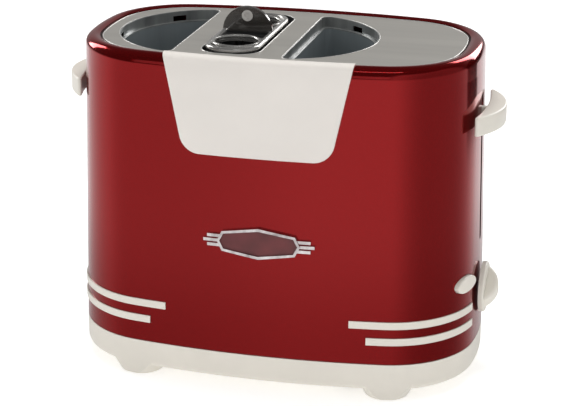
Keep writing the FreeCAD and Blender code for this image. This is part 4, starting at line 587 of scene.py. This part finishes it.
def make_left_lever():
    """The left lever's cap: its node's mesh, set a little higher and drawn in at its front end, as
    the photograph appears to show it."""
    source = frame["nodes"]["lever_left"]
    mesh = source.data.copy()
    mesh.name = "left_lever_cap"
    cap = link(bpy.data.objects.new("left_lever_cap", mesh))
    cap.matrix_world = source.matrix_world
    back = source.matrix_world.inverted()
    for vertex in mesh.vertices:
        place = source.matrix_world @ vertex.co
        front = min(1.0, max(0.0, -place.y / (FRONT_HALF * MM)))
        place.x += LEFT_DRAW * MM * front
        place.z += LEFT_RISE * MM
        vertex.co = back @ place
    shade(mesh, SHARP)
    paint(cap, FINISHES["ivory_plastic"])
    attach(cap, "carriage")
    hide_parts("lever_left")


# --- painted shade in the groove, and lips with painted highlight, on the top plate -------------

def make_groove_shade():
    """A near-black strip in the groove between the rim and the plate: painted shade of the gap."""
    recess = oval_columns(PLATE)
    level = PLATE_TOP - GROOVE_SHADE_DROP
    rows = [(*at_inset(column, inset), level) for inset in (-GROOVE, 0) for column in recess]
    columns = len(recess)
    groove_shade = mesh_object("plate_groove_shade", rows, ring_faces(2, columns)[:columns])
    paint(groove_shade, GROOVE_SHADE_FINISH)
    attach(groove_shade, "housing")


def lip(name, outlines, bead=BEAD):
    """A thin rolled lip on the plate's face; outlines(inset) gives the line that it follows."""
    rows = []
    for step in range(LIP_STEPS):
        turn = 2 * math.pi * step / LIP_STEPS
        line = outlines(bead * (1 - math.cos(turn)))
        rows += [(x, y, PLATE_TOP + bead * math.sin(turn)) for x, y in line]
    obj = mesh_object(name, rows, ring_faces(LIP_STEPS, len(rows) // LIP_STEPS), sharp=LIP_SHARP)
    # lighter than the plate: painted highlight
    paint(obj, LIP_HIGHLIGHT_FINISH)
    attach(obj, "housing")


def make_lips():
    lip("well_lip_left", lambda inset: dee_outline(-1, inset), LEFT_BEAD)
    lip("well_lip_right", lambda inset: dee_outline(1, inset))
    lip("middle_lip",
        lambda inset: rounded_outline((WELL_CENTRE, 0), MIDDLE_HALF_WIDTH - inset,
                                      MIDDLE_HALF_LENGTH - inset, MIDDLE_CORNER - inset))
    plate = oval_columns(PLATE)
    lip("plate_lip", lambda inset: [at_inset(column, inset + PLATE_LIP_INSET) for column in plate])


# --- surroundings -------------------------------------------------------------------------------

CAMERA_PLACE = Vector((0.2957, -1.1725, 0.5288))
CAMERA_AIM = Vector((-0.2281, 0.9165, -0.3287))
CAMERA_ROLL = math.radians(0.27)
CAMERA_REACH = 50
SENSOR = 36.0
FOCAL_PIXELS = 1825.9
IMAGE_WIDTH = 580

FLOOR_HALF = 6.0
FLOOR_GLOW = 0.4
MATT_LIGHT = 0.55        # how strongly matt surfaces see the world

# soft boxes: place, aim, width and height, watts
OVERHEAD = ((0, 0.15, 1.9), (0, 0, 0), (1.0, 0.45), 18)
FRONT = ((-0.7, -2.8, 1.0), (0, 0, 0.1), (2.4, 1.2), 5)
# soft boxes that show only as highlights
HIGHLIGHTS = {
    "zenith_box": ((0.15, -0.55, 1.55), (0, 0, 0.22), (0.5, 0.12), 0.55),
    "right_box": ((0.62, 1.36, 0.99), (0, 0, 0.99), (0.56, 1.22), 14),
    "left_box": ((-1.38, 0.59, 0.92), (0, 0, 0.92), (0.42, 1.08), 13),
}

# The studio that glossy surfaces mirror. Each ramp is (low, high, start, end): brightness, or a
# factor on it, goes from start to end while a height or a nearness to a direction goes from low to
# high. A height is the sine of the angle above the level. Directions lie on the level.
RAMPS = {
    "table": (-0.16, 0.0, 1.08, 0.08),            # bright below the level, dim above it
    "near": (-0.365, -0.3, 0.55, 0.97),           # the table is darker close by
    "back": (0.4, 0.8, 0.0, 0.26),                # a pale wall behind the object
    "back_foot": (-0.05, 0.1, 0.0, 1.0),
    "back_top": (0.4, 0.62, 1.0, 0.0),
    "board": (0.48, 0.68, 0.0, 0.6),              # a grey board to the front right
    "board_foot": (-0.1, 0.0, 0.0, 1.0),
    "board_top": (0.62, 0.75, 1.0, 0.0),
    "flag": (0.35, 0.93, 1.0, 0.48),              # darker to the right
    "shade": (0.76, 0.97, 1.0, 0.76),             # and a little darker to the front left
    "screen": (0.92, 0.94, 0.0, 0.95),            # a dark screen behind right
    "screen_foot": (-0.285, -0.262, 0.0, 1.0),
}
WAYS = {"board": (0.87, -0.5), "flag": (0.985, -0.174), "shade": (-0.66, -0.75),
        "screen": (0.6, 0.8)}


def make_floor():
    mesh = bpy.data.meshes.new("floor")
    half = FLOOR_HALF
    mesh.from_pydata([(-half, -half, 0), (half, -half, 0), (half, half, 0), (-half, half, 0)], [],
                     [(0, 1, 2, 3)])
    floor = link(bpy.data.objects.new("floor", mesh))
    material = finish("floor_finish", (0.96, 0.96, 0.96), roughness=0.9, specular=0.1, tone_and_reflection_mottle=0.01,
                      scale=2.0)
    floor.visible_glossy = False
    lit = material.node_tree.nodes["Principled BSDF"].inputs
    lit["Emission Color"].default_value = (1, 1, 1, 1)
    lit["Emission Strength"].default_value = FLOOR_GLOW
    paint(floor, material)


def area_light(name, place, aim, size, watts):
    """A soft box."""
    light = bpy.data.lights.new(name, "AREA")
    light.shape = "RECTANGLE"
    light.size, light.size_y = size
    light.energy = watts
    obj = link(bpy.data.objects.new(name, light))
    obj.location = place
    obj.rotation_euler = (Vector(aim) - Vector(place)).to_track_quat("-Z", "Y").to_euler()
    return obj


def ramp(tree, value, shape):
    """A smooth step from start to end while the value goes from low to high, as in RAMPS."""
    step = tree.nodes.new("ShaderNodeMapRange")
    step.interpolation_type = "SMOOTHSTEP"
    for label, number in zip(("From Min", "From Max", "To Min", "To Max"), shape):
        step.inputs[label].default_value = number
    tree.links.new(value, step.inputs["Value"])
    return step.outputs["Result"]


def combine(tree, operation, first, second):
    """A maths node; either side is a socket or a plain number."""
    node = tree.nodes.new("ShaderNodeMath")
    node.operation = operation
    for socket, value in zip(node.inputs, (first, second)):
        if isinstance(value, float):
            socket.default_value = value
        else:
            tree.links.new(value, socket)
    return node.outputs[0]


def product(tree, value, *factors):
    for factor in factors:
        value = combine(tree, "MULTIPLY", value, factor)
    return value


def toward(tree, heading, way):
    """How closely the heading lies along a direction on the level, as a cosine."""
    node = tree.nodes.new("ShaderNodeVectorMath")
    node.operation = "DOT_PRODUCT"
    node.inputs[1].default_value = (*way, 0)
    tree.links.new(heading, node.inputs[0])
    return node.outputs["Value"]


def make_world():
    """Even white light for matt surfaces. Glossy ones see the studio of RAMPS instead."""
    world = bpy.data.worlds.new("studio")
    bpy.context.scene.world = world
    world.use_nodes = True
    tree = world.node_tree
    background = tree.nodes["Background"]
    background.inputs["Color"].default_value = (1, 1, 1, 1)
    heading = tree.nodes.new("ShaderNodeTexCoord").outputs["Generated"]
    split = tree.nodes.new("ShaderNodeSeparateXYZ")
    tree.links.new(heading, split.inputs["Vector"])

    def by_height(name):
        return ramp(tree, split.outputs["Z"], RAMPS[name])

    def by_way(name):
        return ramp(tree, toward(tree, heading, WAYS[name]), RAMPS[name])
    back = product(tree, by_height("back_foot"), by_height("back_top"),
                   ramp(tree, split.outputs["Y"], RAMPS["back"]))
    board = product(tree, by_height("board_foot"), by_height("board_top"), by_way("board"))
    screen = product(tree, by_way("screen"), by_height("screen_foot"))
    lit = combine(tree, "ADD", combine(tree, "ADD", by_height("table"), back), board)
    seen = product(tree, lit, by_height("near"), by_way("flag"), by_way("shade"),
                   combine(tree, "SUBTRACT", 1.0, screen))
    rays = tree.nodes.new("ShaderNodeLightPath")
    choice = tree.nodes.new("ShaderNodeMix")
    choice.inputs["A"].default_value = MATT_LIGHT
    tree.links.new(rays.outputs["Is Glossy Ray"], choice.inputs["Factor"])
    tree.links.new(seen, choice.inputs["B"])
    tree.links.new(choice.outputs["Result"], background.inputs["Strength"])


def make_light():
    bpy.context.scene.view_settings.view_transform = "Standard"
    make_world()
    area_light("overhead", *OVERHEAD).visible_glossy = False
    area_light("front", *FRONT)
    for name, box in HIGHLIGHTS.items():
        area_light(name, *box).visible_diffuse = False


def make_camera():
    data = bpy.data.cameras.new("camera")
    data.sensor_width = SENSOR
    data.lens = FOCAL_PIXELS * SENSOR / IMAGE_WIDTH
    data.clip_end = CAMERA_REACH
    camera = link(bpy.data.objects.new("camera", data))
    turn = CAMERA_AIM.normalized().to_track_quat("-Z", "Y")
    camera.matrix_world = (Matrix.Translation(CAMERA_PLACE) @ turn.to_matrix().to_4x4()
                           @ Matrix.Rotation(CAMERA_ROLL, 4, "Z"))
    bpy.context.scene.camera = camera


# --- scene --------------------------------------------------------------------------------------

dress_nodes()
make_shell()
make_rim()
make_left_lever()
make_groove_shade()
make_lips()
make_floor()
make_light()
make_camera()
